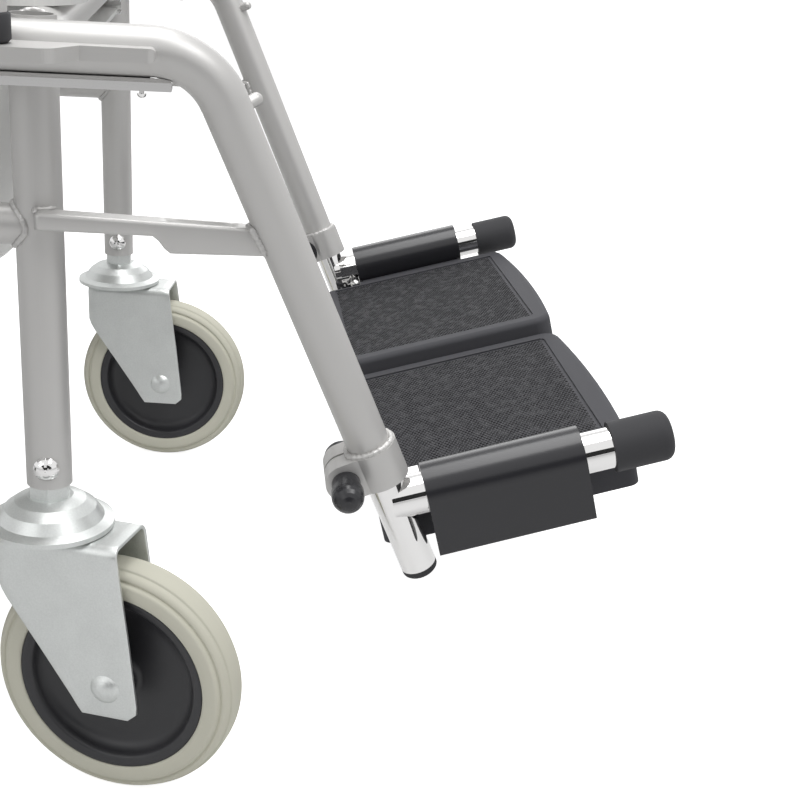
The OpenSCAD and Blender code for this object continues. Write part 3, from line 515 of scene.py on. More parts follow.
@dataclass
class ShaderGroups:
    """Node groups that several finishes share, each built once."""

    noise_middle: float = 0.5
    noise_gain: float = 4.0
    patch_detail: float = 4.0
    speck_detail: float = 1.0
    soft_scale_share: float = 0.6
    soft_detail: float = 3.0
    soft_height_share: float = 0.5
    edge_start: float = 0.52
    edge_gain: float = 12.0
    break_scale: float = 160.0
    break_detail: float = 4.0
    break_start: float = 0.45
    break_gain: float = 5.0
    scuff_scale: float = 45.0
    scuff_detail: float = 6.0
    scuff_roughness: float = 0.75
    scuff_start: float = 0.62
    scuff_gain: float = 7.0
    trees: dict[str, bpy.types.ShaderNodeTree] = field(default_factory=dict)

    def get(self, name: str, build: Callable[[], bpy.types.ShaderNodeTree]
            ) -> bpy.types.ShaderNodeTree:
        """Finds a group, or builds it the first time.

        Args:
            name: The group's name.
            build: Builds it.

        Returns:
            The group's tree.
        """
        if name not in self.trees:
            self.trees[name] = build()
        return self.trees[name]

    def mottle(self) -> bpy.types.ShaderNodeTree:
        """Group that varies a colour and a roughness in soft patches and fine specks."""
        return self.get("mottle", self._build_mottle)

    def grain(self) -> bpy.types.ShaderNodeTree:
        """Group that gives the height of a fine pebbled grain."""
        return self.get("grain", self._build_grain)

    def wear(self) -> bpy.types.ShaderNodeTree:
        """Group that lightens edges and scuffs a surface."""
        return self.get("wear", self._build_wear)

    def _build_mottle(self) -> bpy.types.ShaderNodeTree:
        """Builds the group of patches and specks."""
        tree, source, target = group_tree(
            "mottle",
            [("Colour", "NodeSocketColor", (0.5, 0.5, 0.5, 1)),
             ("Patch scale", "NodeSocketFloat", 12.0), ("Colour change", "NodeSocketFloat", 0.06),
             ("Roughness", "NodeSocketFloat", 0.4), ("Roughness change", "NodeSocketFloat", 0.08),
             ("Speck scale", "NodeSocketFloat", 900.0), ("Speck", "NodeSocketFloat", 0.03)],
            [("Colour", "NodeSocketColor"), ("Roughness", "NodeSocketFloat")])
        given = source.outputs
        vector = object_vector(tree)
        patches = noise_node(tree, vector, given["Patch scale"], self.patch_detail)
        patches = math_node(tree, "SUBTRACT", patches, self.noise_middle)
        specks = noise_node(tree, vector, given["Speck scale"], self.speck_detail)
        specks = math_node(tree, "SUBTRACT", specks, self.noise_middle)
        change = math_node(tree, "MULTIPLY", patches, given["Colour change"])
        change = math_node(tree, "MULTIPLY_ADD", specks, given["Speck"], change)
        scaled = tree.nodes.new("ShaderNodeVectorMath")
        scaled.operation = "SCALE"
        tree.links.new(given["Colour"], scaled.inputs[0])
        factor = math_node(tree, "MULTIPLY_ADD", change, self.noise_gain, 1.0)
        tree.links.new(factor, scaled.inputs["Scale"])
        tree.links.new(scaled.outputs[0], target.inputs["Colour"])
        swing = math_node(tree, "MULTIPLY", given["Roughness change"], self.noise_gain)
        rough = math_node(tree, "MULTIPLY_ADD", patches, swing, given["Roughness"], clamp=True)
        tree.links.new(rough, target.inputs["Roughness"])
        return tree

    def _build_grain(self) -> bpy.types.ShaderNodeTree:
        """Builds the group of pebbled grain."""
        tree, source, target = group_tree(
            "grain",
            [("Scale", "NodeSocketFloat", 700.0), ("Sharpness", "NodeSocketFloat", 0.5)],
            [("Height", "NodeSocketFloat")])
        vector = object_vector(tree)
        cells = tree.nodes.new("ShaderNodeTexVoronoi")
        cells.feature = "SMOOTH_F1"
        tree.links.new(vector, cells.inputs["Vector"])
        tree.links.new(source.outputs["Scale"], cells.inputs["Scale"])
        soft_scale = math_node(tree, "MULTIPLY", source.outputs["Scale"], self.soft_scale_share)
        soft = noise_node(tree, vector, soft_scale, self.soft_detail)
        pebbles = math_node(tree, "SUBTRACT", 1.0, cells.outputs["Distance"])
        pebbles = math_node(tree, "MULTIPLY", pebbles, source.outputs["Sharpness"])
        height = math_node(tree, "MULTIPLY_ADD", soft, self.soft_height_share, pebbles)
        tree.links.new(height, target.inputs["Height"])
        return tree

    def _build_wear(self) -> bpy.types.ShaderNodeTree:
        """Builds the group of worn edges and scuffs."""
        tree, source, target = group_tree(
            "wear",
            [("Colour", "NodeSocketColor", (0.5, 0.5, 0.5, 1)),
             ("Worn colour", "NodeSocketColor", (0.7, 0.7, 0.7, 1)),
             ("Edge", "NodeSocketFloat", 0.5), ("Scuffs", "NodeSocketFloat", 0.3)],
            [("Colour", "NodeSocketColor"), ("Mask", "NodeSocketFloat")])
        given = source.outputs
        vector = object_vector(tree)
        pointed = tree.nodes.new("ShaderNodeNewGeometry").outputs["Pointiness"]
        edge = stretched(tree, pointed, self.edge_start, self.edge_gain)
        broken = noise_node(tree, vector, self.break_scale, self.break_detail)
        broken = stretched(tree, broken, self.break_start, self.break_gain)
        scuff = noise_node(tree, vector, self.scuff_scale, self.scuff_detail, self.scuff_roughness)
        scuff = stretched(tree, scuff, self.scuff_start, self.scuff_gain)
        mask = math_node(tree, "MULTIPLY", math_node(tree, "MULTIPLY", edge, broken), given["Edge"])
        scuff = math_node(tree, "MULTIPLY", scuff, given["Scuffs"])
        mask = math_node(tree, "MAXIMUM", mask, scuff, clamp=True)
        worn = mix_colour(tree, mask, given["Colour"], given["Worn colour"])
        tree.links.new(worn, target.inputs["Colour"])
        tree.links.new(mask, target.inputs["Mask"])
        return tree


GROUPS = ShaderGroups()


# Finishes


@dataclass(frozen=True)
class Finish:
    """A surface finish, built from the shared groups into one material.

    The colour, the roughness and their changes go through the mottle group, the wear through the
    wear group, and the grain group gives the bump.
    """

    name: str
    colour: Colour
    roughness: float
    metallic: float = 0.0
    colour_change: float = 0.05
    roughness_change: float = 0.05
    patch_scale: float = 14.0
    speck: float = 0.02
    speck_scale: float = 900.0
    grain_scale: float = 800.0
    grain_height: float = 0.0
    grain_sharpness: float = 0.5
    worn_colour: Colour | None = None
    edge_wear: float = 0.0
    scuffs: float = 0.0
    coat: float = 0.0
    coat_roughness: float = 0.1
    sheen: float = 0.0
    ior: float = 1.5
    specular: float = 0.5

    def material(self) -> bpy.types.Material:
        """Returns the finish's material, building it the first time."""
        return bpy.data.materials.get(self.name) or self._build()

    def _build(self) -> bpy.types.Material:
        """Builds the material."""
        material = bpy.data.materials.new(self.name)
        material.use_nodes = True
        tree = material.node_tree
        shader = tree.nodes["Principled BSDF"]
        for label, value in (("Metallic", self.metallic), ("IOR", self.ior),
                             ("Specular IOR Level", self.specular), ("Coat Weight", self.coat),
                             ("Coat Roughness", self.coat_roughness), ("Sheen Weight", self.sheen)):
            shader.inputs[label].default_value = value
        mottle = self._group(tree, GROUPS.mottle(), {
            "Colour": (*self.colour, 1.0), "Patch scale": self.patch_scale,
            "Colour change": self.colour_change, "Roughness": self.roughness,
            "Roughness change": self.roughness_change, "Speck scale": self.speck_scale,
            "Speck": self.speck})
        colour = mottle.outputs["Colour"]
        if self.worn_colour is not None:
            wear = self._group(tree, GROUPS.wear(), {
                "Worn colour": (*self.worn_colour, 1.0), "Edge": self.edge_wear,
                "Scuffs": self.scuffs})
            tree.links.new(colour, wear.inputs["Colour"])
            colour = wear.outputs["Colour"]
        tree.links.new(colour, shader.inputs["Base Color"])
        tree.links.new(mottle.outputs["Roughness"], shader.inputs["Roughness"])
        if self.grain_height > 0:
            grain = self._group(tree, GROUPS.grain(), {
                "Scale": self.grain_scale, "Sharpness": self.grain_sharpness})
            bump = tree.nodes.new("ShaderNodeBump")
            bump.inputs["Strength"].default_value = 1.0
            bump.inputs["Distance"].default_value = self.grain_height
            tree.links.new(grain.outputs["Height"], bump.inputs["Height"])
            tree.links.new(bump.outputs["Normal"], shader.inputs["Normal"])
        return material

    @staticmethod
    def _group(tree: bpy.types.NodeTree, group: bpy.types.ShaderNodeTree,
               values: dict) -> bpy.types.Node:
        """Places a group in a material's tree.

        Args:
            tree: The material's tree.
            group: The group.
            values: The value of each named input.

        Returns:
            The group's node.
        """
        node = tree.nodes.new("ShaderNodeGroup")
        node.node_tree = group
        for name, value in values.items():
            node.inputs[name].default_value = value
        return node


FRAME_PAINT = Finish(
    "frame_paint", (0.262, 0.264, 0.268), 0.36, metallic=0.28, colour_change=0.02,
    roughness_change=0.03, speck=0.05, speck_scale=1600.0, coat=0.25, coat_roughness=0.14)
CHROME = Finish(
    "chrome_plate", (0.79, 0.785, 0.78), 0.06, metallic=1.0, colour_change=0.01,
    roughness_change=0.02, patch_scale=40.0, speck=0.0)
ZINC = Finish(
    "zinc_plate", (0.66, 0.68, 0.67), 0.36, metallic=0.75, roughness_change=0.08,
    patch_scale=60.0, speck=0.04, worn_colour=(0.75, 0.76, 0.75), edge_wear=0.5, scuffs=0.15,
    grain_scale=1500.0, grain_height=0.00004)
HUB_PLASTIC = Finish(
    "hub_plastic", (0.004, 0.004, 0.0045), 0.28, colour_change=0.08, roughness_change=0.08,
    speck=0.03, grain_scale=1200.0, grain_height=0.00003, specular=0.1)
TYRE_RUBBER = Finish(
    "tyre_rubber", (0.49, 0.47, 0.355), 0.62, colour_change=0.045, patch_scale=35.0, speck=0.03,
    worn_colour=(0.36, 0.34, 0.27), scuffs=0.3, grain_scale=900.0, grain_height=0.00006)
BLACK_PLASTIC = Finish(
    "black_plastic", (0.003, 0.0028, 0.0026), 0.25, colour_change=0.06, roughness_change=0.06,
    grain_scale=1500.0, grain_height=0.00002, coat=0.2, coat_roughness=0.12, specular=0.3)
BLACK_RUBBER = Finish(
    "black_rubber", (0.008, 0.008, 0.0085), 0.40, colour_change=0.08, roughness_change=0.06,
    grain_scale=1300.0, grain_height=0.00005, specular=0.35)
PLATE_PLASTIC = Finish(
    "plate_plastic", (0.045, 0.045, 0.047), 0.36, colour_change=0.06, specular=0.9,
    grain_scale=1600.0, grain_height=0.00006, worn_colour=(0.16, 0.16, 0.165), edge_wear=0.4,
    scuffs=0.1)
TREAD = Finish(
    "tread_plastic", (0.028, 0.028, 0.030), 0.55, specular=0.15, colour_change=0.06,
    worn_colour=(0.14, 0.14, 0.145), edge_wear=0.6, scuffs=0.12, grain_scale=1800.0,
    grain_height=0.00003)
WHITE_PLASTIC = Finish(
    "white_plastic", (0.80, 0.80, 0.78), 0.3, colour_change=0.01, roughness_change=0.04,
    speck=0.0, grain_scale=900.0, grain_height=0.00003)
VINYL = Finish(
    "seat_vinyl", (0.020, 0.020, 0.022), 0.42, colour_change=0.06, roughness_change=0.06,
    patch_scale=20.0, grain_scale=620.0, grain_height=0.00022, grain_sharpness=0.9, sheen=0.05)

SLOT_FINISHES: dict[str, Finish] = {
    "frame_paint": FRAME_PAINT,
    "chrome": CHROME,
    "zinc": ZINC,
    "hub_plastic": HUB_PLASTIC,
    "tyre_rubber": TYRE_RUBBER,
    "black_plastic": BLACK_PLASTIC,
    "black_rubber": BLACK_RUBBER,
    "plate_plastic": PLATE_PLASTIC,
    "white_plastic": WHITE_PLASTIC,
    "vinyl": VINYL,
}


def dress(piece: bpy.types.Object, finish: Finish, body: str) -> bpy.types.Object:
    """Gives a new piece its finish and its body.

    Args:
        piece: The piece.
        finish: Its finish.
        body: The CAD body that it rides on.

    Returns:
        The same piece.
    """
    piece.data.materials.clear()
    piece.data.materials.append(finish.material())
    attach(piece, body)
    return piece


class CadNodes:
    """The CAD nodes that stay in view, each with the finish of its slot."""

    def build(self) -> None:
        """Dresses every node."""
        slots = {entry["node"]: entry["material_slot"] for entry in frame["record"]["subparts"]}
        for name, node in frame["nodes"].items():
            material = SLOT_FINISHES[slots[name]].material()
            if not node.data.materials:
                node.data.materials.append(material)
            for index in range(len(node.data.materials)):
                node.data.materials[index] = material
            log.info("%s: CAD node in %s", name, material.name)


# Padding


@dataclass
class Padding:
    """The seat cushion, its lift-out centre, the backrest and the arm pads.

    A share of 1 is a pad's outline, or its full height. The shares of a welt are its name, its
    place and its height.
    """

    voxel: float = 0.006
    pressure: float = 4.0
    cloth_quality: int = 5
    cloth_tension: float = 12.0
    cloth_bending: float = 0.4
    frames: int = 18
    swell_cap: float = 0.006
    start_in: float = 0.004
    loop_steps: int = 72
    piping_r: float = 0.0028
    welt_out: float = 0.3
    welt_eased: int = 2
    plug_play: float = 0.003
    seat_square: float = 5.0
    hole_square: float = 2.4
    back_square: float = 6.0
    arm_square: float = 7.0
    pad_h: float = 0.026
    pad_l: float = 0.300
    foot_r: float = 0.0125
    foot_h: float = 0.014
    foot_bottom_edge: float = 0.0015
    foot_top_edge: float = 0.001
    foot_bore_r: float = 0.011
    seat_ring_shares: Section = (
        (0.965, 0.0), (1.0, 0.16), (1.0, 0.50), (0.985, 0.72), (0.93, 0.88), (0.80, 0.965),
        (0.52, 1.0), (0.24, 0.955), (0.10, 0.87), (0.03, 0.72), (0.0, 0.50), (0.0, 0.16),
        (0.03, 0.0))
    crown_ring_shares: Section = (
        (0.965, 0.0), (1.0, 0.18), (1.0, 0.52), (0.975, 0.76), (0.92, 0.88), (0.78, 0.955),
        (0.45, 0.99), (0.2, 1.0))
    seat_welt_shares: Sequence[tuple[str, float, float]] = (
        ("seat_welt_outer", 0.965, 0.80), ("seat_welt_inner", 0.045, 0.80))
    plug_welt_share: tuple[float, float] = (0.955, 0.82)
    back_welt_share: tuple[float, float] = (0.965, 0.80)

    def build(self) -> None:
        """Builds every padded piece."""
        self.seat()
        self.plug()
        self.backrest()
        for side in Side:
            self.arm_pad(side)

    def loop(self, low: Vector, high: Vector, square: float) -> list[tuple[float, float]]:
        """Gives the points of a rounded square in a box's first two axes.

        Args:
            low: The box's low corner.
            high: The box's high corner.
            square: How square the loop is, 2 for an ellipse.

        Returns:
            Its points.
        """
        middle, half = (low + high) / 2, (high - low) / 2
        return [(middle.x + half.x * math.copysign(abs(c) ** (2 / square), c),
                 middle.y + half.y * math.copysign(abs(s) ** (2 / square), s))
                for c, s in turns(self.loop_steps)]

    def swell(self, piece: bpy.types.Object, low: Vector, high: Vector) -> None:
        """Draws a pad in, inflates it with a short cloth run, smooths it and keeps it in its box.

        Args:
            piece: The closed pad.
            low: The low corner of its solid's box.
            high: The high corner of that box.
        """
        normals = [v.normal.copy() for v in piece.data.vertices]
        for vertex, normal in zip(piece.data.vertices, normals):
            vertex.co -= normal * self.start_in
        remesh = piece.modifiers.new("remesh", "REMESH")
        remesh.mode = "VOXEL"
        remesh.voxel_size = self.voxel
        apply_modifiers(piece)
        rest = [v.co.copy() for v in piece.data.vertices]
        self.inflate(piece)
        for vertex, start in zip(piece.data.vertices, rest):
            move = vertex.co - start
            if move.length > self.swell_cap:
                vertex.co = start + move.normalized() * self.swell_cap
        subdivided(piece, 1)
        for polygon in piece.data.polygons:
            polygon.use_smooth = True
        for vertex in piece.data.vertices:
            for axis in range(3):
                vertex.co[axis] = min(max(vertex.co[axis], low[axis]), high[axis])

    def inflate(self, piece: bpy.types.Object) -> None:
        """Runs the cloth simulation that blows a pad up.

        Args:
            piece: The pad.
        """
        cloth = piece.modifiers.new("cloth", "CLOTH")
        settings = cloth.settings
        settings.use_pressure = True
        settings.uniform_pressure_force = self.pressure
        settings.effector_weights.gravity = 0
        settings.quality = self.cloth_quality
        settings.tension_stiffness = self.cloth_tension
        settings.bending_stiffness = self.cloth_bending
        cloth.point_cache.frame_start = 1
        cloth.point_cache.frame_end = self.frames
        for step in range(1, self.frames + 1):
            bpy.context.scene.frame_set(step)
        apply_modifiers(piece)
        bpy.context.scene.frame_set(1)

    def welt(self, name: str, points: Sequence[Vector], body: str, skin: bpy.types.Object) -> None:
        """Sews a round welt onto a pad's skin.

        Args:
            name: The welt's name.
            points: Points of a closed line. The welt follows the nearest line on the skin.
            body: The body that it rides on.
            skin: The pad.
        """
        tree = BVHTree.FromPolygons([v.co for v in skin.data.vertices],
                                    [tuple(p.vertices) for p in skin.data.polygons])
        sewn = []
        for point in points:
            spot, normal, _, _ = tree.find_nearest(point)
            sewn.append(spot + normal * self.piping_r * self.welt_out)
        for _ in range(self.welt_eased):
            sewn = [(sewn[i - 1] + sewn[i] * 2 + sewn[(i + 1) % len(sewn)]) / 4
                    for i in range(len(sewn))]
        piece = swept(name, sewn, [self.piping_r] * len(sewn), looped=True)
        dress(piece, VINYL, body)
        log.info("%s: sewn round %s", name, skin.name)

    def seat(self) -> None:
        """Builds the ring-shaped seat cushion, with a welt round its top and its opening."""
        low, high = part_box("seat_cushion")
        hole_low, hole_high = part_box("seat_plug")
        play = Vector((self.plug_play, self.plug_play, 0))
        outer = self.loop(low, high, self.seat_square)
        inner = self.loop(hole_low - play, hole_high + play, self.hole_square)
        height = high.z - low.z

        def ring(share: float, rise: float) -> list[Vector]:
            """Returns the points at a share of the way out and of the height."""
            return [Vector((a[0] + (b[0] - a[0]) * share, a[1] + (b[1] - a[1]) * share,
                            low.z + height * rise)) for a, b in zip(inner, outer)]

        rings = [ring(share, rise) for share, rise in self.seat_ring_shares]
        piece = lofted("seat_cushion_cover", rings, looped=True)
        self.swell(piece, low, high)
        dress(piece, VINYL, "frame")
        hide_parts("seat_cushion")
        for name, share, rise in self.seat_welt_shares:
            self.welt(name, ring(share, rise), "frame", piece)
        log.info("seat_cushion_cover: %d corners", len(piece.data.vertices))

    def crown_ring(self, low: Vector, high: Vector, square: float, shares: tuple[float, float],
                   place: Callable[[float, float, float], Vector]) -> list[Vector]:
        """Gives one ring of a crowned pad.

        Args:
            low: Low corner of the pad's box, seen from its crowned side.
            high: High corner of that box.
            square: How square its outline is.
            shares: The ring's shares of the outline and of the height.
            place: Turns a place in that box into the row frame.

        Returns:
            The ring's points.
        """
        middle = (low + high) / 2
        share, rise = shares
        return [place(middle.x + (x - middle.x) * share, middle.y + (y - middle.y) * share,
                      low.z + (high.z - low.z) * rise) for x, y in self.loop(low, high, square)]

    def crowned(self, name: str, low: Vector, high: Vector, square: float,
                place: Callable[[float, float, float], Vector]) -> bpy.types.Object:
        """Makes a closed crowned pad.

        Args:
            name: The piece's name.
            low: Low corner of its box, seen from its crowned side.
            high: High corner of that box.
            square: How square its outline is.
            place: Turns a place in that box into the row frame.

        Returns:
            The new pad.
        """
        return lofted(name, [self.crown_ring(low, high, square, shares, place)
                             for shares in self.crown_ring_shares])

    def plug(self) -> None:
        """Builds the lift-out centre of the seat, with its own welt."""
        low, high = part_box("seat_plug")
        form = (low, high, self.hole_square)
        piece = self.crowned("seat_plug_cover", *form, upright)
        self.swell(piece, low, high)
        dress(piece, VINYL, "plug")
        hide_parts("seat_plug")
        self.welt("seat_plug_welt", self.crown_ring(*form, self.plug_welt_share, upright), "plug",
                  piece)
        log.info("seat_plug_cover: %d corners", len(piece.data.vertices))

    def backrest(self) -> None:
        """Builds the padded backrest, crowned towards the sitter, with its welt."""
        low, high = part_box("backrest")
        form = (Vector((low.x, low.z, 0)), Vector((high.x, high.z, high.y - low.y)),
                self.back_square)

        def leaning(x: float, y: float, z: float) -> Vector:
            """Turns a place in the lying pad's box into the row frame."""
            return Vector((x, high.y - z, y))

        piece = self.crowned("backrest_cover", *form, leaning)
        self.swell(piece, low, high)
        dress(piece, VINYL, "frame")
        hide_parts("backrest")
        self.welt("backrest_welt", self.crown_ring(*form, self.back_welt_share, leaning), "frame",
                  piece)
        log.info("backrest_cover: %d corners", len(piece.data.vertices))

    def arm_pad(self, side: Side) -> None:
        """Builds a moulded arm pad and the foot under the arm tube, which share a node.

        Args:
            side: Side of the chair.
        """
        name = f"arm_pad_{side.word}"
        low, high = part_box(name)
        pad_low = Vector((low.x, high.y - self.pad_l, high.z - self.pad_h))
        pad = self.crowned(f"{name}_moulded", pad_low, high, self.arm_square, upright)
        pad = subdivided(pad, 1)
        dress(pad, BLACK_RUBBER, f"arm_{side.word}")
        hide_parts(name)
        centre = Vector((node_centre(f"arm_tube_{side.word}").x, low.y + self.foot_r, low.z))
        foot = turned_part(
            f"arm_foot_{side.word}", Local(centre, UPWARD, ACROSS, REARWARD),
            [(0.0, 0.0), (self.foot_r - self.foot_bottom_edge, 0.0),
             (self.foot_r, self.foot_bottom_edge), (self.foot_r, self.foot_h - self.foot_top_edge),
             (self.foot_r - self.foot_top_edge, self.foot_h), (self.foot_bore_r, self.foot_h)],
            steps=48)
        dress(foot, BLACK_RUBBER, f"arm_{side.word}")
        log.info("%s: moulded pad and foot", name)


def upright(x: float, y: float, z: float) -> Vector:
    """Returns a place of a pad that lies as its box does."""
    return Vector((x, y, z))


# Castors


def eased(value: float) -> float:
    """Returns a smooth step of a value held between 0 and 1."""
    held = min(max(value, 0.0), 1.0)
    return held * held * (3 - 2 * held)


def along_points(points: Section, value: float) -> float:
    """Reads a line through points.

    Args:
        points: Pairs of place and value, in rising order of place.
        value: The place to read.

    Returns:
        The value there.
    """
    if value <= points[0][0]:
        return points[0][1]
    for (a, u), (b, v) in zip(points, points[1:]):
        if value <= b:
            return u + (v - u) * (value - a) / (b - a)
    return points[-1][1]


def mirrored(half: Section, shared: int = 0) -> list[tuple[float, float]]:
    """Completes the profile of a wheel's part by its other half.

    Args:
        half: Radius and distance from the wheel's middle of each corner, on one side.
        shared: How many of its last corners lie on the middle itself.

    Returns:
        The whole profile.
    """
    return list(half) + [(r, -out) for r, out in reversed(half[:len(half) - shared])]


@dataclass
class Castor:
    """One castor: pressed fork, tyre and dished hub.

    The fork's edges are pairs of height and distance behind the swivel's axis. The ear's outline
    has that distance first.
    """

    end: End
    side: Side
    fork_w: float = 0.042
    fork_t: float = 0.0025
    bend_r: float = 0.0055
    rear_edge: Section = (
        (0.056, 0.026), (0.060, 0.0232), (0.067, 0.019), (0.096, 0.0), (0.128, -0.0215),
        (0.135, -0.0238), (0.1665, -0.0240))
    front_edge: Section = (
        (0.056, 0.0550), (0.0575, 0.0585), (0.062, 0.0610), (0.110, 0.0560), (0.1665, 0.0490))
    rows: int = 22
    columns: int = 10
    bend_steps: int = 5
    sheet_edge: float = 0.0006
    sheet_edge_angle: float = 0.9
    ear_outline: Section = (
        (0.030, 0.1664), (0.0715, 0.1664), (0.0718, 0.1500), (0.0695, 0.1472), (0.030, 0.1472))
    ear_inset: float = 0.00002
    ear_edge: float = 0.0005
    tyre_profile: Section = (
        (0.0575, 0.0128), (0.0580, 0.0140), (0.0592, 0.0143), (0.0625, 0.0145), (0.0655, 0.0144),
        (0.0666, 0.0142), (0.0672, 0.0135), (0.0679, 0.0119), (0.0686, 0.0114), (0.0692, 0.0122),
        (0.0700, 0.0123), (0.0716, 0.0114), (0.0727, 0.0100), (0.0729, 0.0087), (0.0733, 0.0078),
        (0.0739, 0.0079), (0.0744, 0.0071), (0.0748, 0.0058), (0.0750, 0.0040), (0.0750, 0.0))
    tyre_steps: int = 144
    hub_profile: Section = (
        (0.0051, 0.0180), (0.0112, 0.0180), (0.0120, 0.0172), (0.0124, 0.0060), (0.0140, 0.0038),
        (0.0165, 0.0030), (0.0280, 0.0028), (0.0400, 0.0030), (0.0450, 0.0036), (0.0485, 0.0054),
        (0.0503, 0.0090), (0.0511, 0.0114), (0.0519, 0.0122), (0.0530, 0.0125), (0.0542, 0.0128),
        (0.0556, 0.0132), (0.0568, 0.0134), (0.0577, 0.0128))
    hub_steps: int = 96

    def build(self) -> None:
        """Builds and dresses the castor's pieces."""
        word = f"{self.end.value}_{self.side.word}"
        place = wheel_frame(self.end, self.side)
        self.fork(word, place)
        self.tyre(word, place)
        self.hub(word, place)
        log.info("castor_%s: pressed fork, tyre and hub", word)

    def fork(self, word: str, wheel: Local) -> None:
        """Builds the pressed fork, one sheet bent over the wheel, with rounded edges.

        Args:
            word: End and side of the chair, as the nodes write them.
            wheel: The wheel's frame.
        """
        swivel = Vector(joint(f"castor_swivel_{word}")["pos_m"])
        trail = Vector((wheel.origin.x - swivel.x, wheel.origin.y - swivel.y, 0)).normalized()
        place = Local(Vector((swivel.x, swivel.y, 0)), Vector((-trail.y, trail.x, 0)), trail,
                      UPWARD)
        half = self.fork_w / 2 - self.fork_t / 2
        middle_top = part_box(f"castor_fork_{word}")[1].z - self.fork_t / 2
        low = self.rear_edge[0][0]
        side_h = middle_top - self.bend_r - low
        rows = [(half, low + side_h * i / (self.rows - 1)) for i in range(self.rows)]
        for i in range(1, self.bend_steps + 1):
            turn = math.pi / 2 * i / self.bend_steps
            rows.append((half - self.bend_r + self.bend_r * math.cos(turn),
                         middle_top - self.bend_r + self.bend_r * math.sin(turn)))
        rows += [(-x, z) for x, z in reversed(rows)]
        rings = []
        for x, z in rows:
            rear, front = along_points(self.rear_edge, z), along_points(self.front_edge, z)
            rings.append([place.at(x, rear + (front - rear) * j / self.columns, z)
                          for j in range(self.columns + 1)])
        piece = lofted(f"castor_fork_{word}_pressed", rings, closed_ring=False, capped=False)
        sheet = piece.modifiers.new("sheet", "SOLIDIFY")
        sheet.thickness = self.fork_t
        sheet.offset = 0
        sheet.use_even_offset = True
        apply_modifiers(piece)
        bevelled(piece, self.sheet_edge, angle=self.sheet_edge_angle)
        dress(piece, ZINC, f"castor_{word}")
        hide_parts(f"castor_fork_{word}")
        if self.end is End.REAR:
            self.pedal_ears(word, place)

    def pedal_ears(self, word: str, place: Local) -> None:
        """Builds the rear fork's two ears that hold the brake pedal's pin.

        Args:
            word: End and side of the chair, as the nodes write them.
            place: The fork's frame, on the floor below its swivel.
        """
        ears = []
        for hand in (-1, 1):
            rings = [[place.at(hand * edge, s, z) for s, z in self.ear_outline]
                     for edge in (self.fork_w / 2 - self.fork_t, self.fork_w / 2 - self.ear_inset)]
            ears.append(bevelled(lofted(f"pedal_ear_{word}", rings), self.ear_edge))
        ear = joined(f"pedal_ears_{word}", ears)
        dress(ear, ZINC, f"castor_{word}")

    def tyre(self, word: str, place: Local) -> None:
        """Builds the tyre, with a stepped shoulder and a groove each side of its crown.

        Args:
            word: End and side of the chair, as the nodes write them.
            place: The wheel's frame.
        """
        piece = turned_part(f"castor_tyre_{word}_moulded", place, mirrored(self.tyre_profile, 1),
                            steps=self.tyre_steps, closed=True)
        dress(piece, TYRE_RUBBER, f"wheel_{word}")
        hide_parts(f"castor_tyre_{word}")

    def hub(self, word: str, place: Local) -> None:
        """Builds the dished hub with its boss.

        Args:
            word: End and side of the chair, as the nodes write them.
            place: The wheel's frame.
        """
        piece = turned_part(f"castor_hub_{word}_moulded", place, mirrored(self.hub_profile),
                            steps=self.hub_steps, closed=True)
        dress(piece, HUB_PLASTIC, f"wheel_{word}")
        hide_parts(f"castor_hub_{word}")


# Footrests


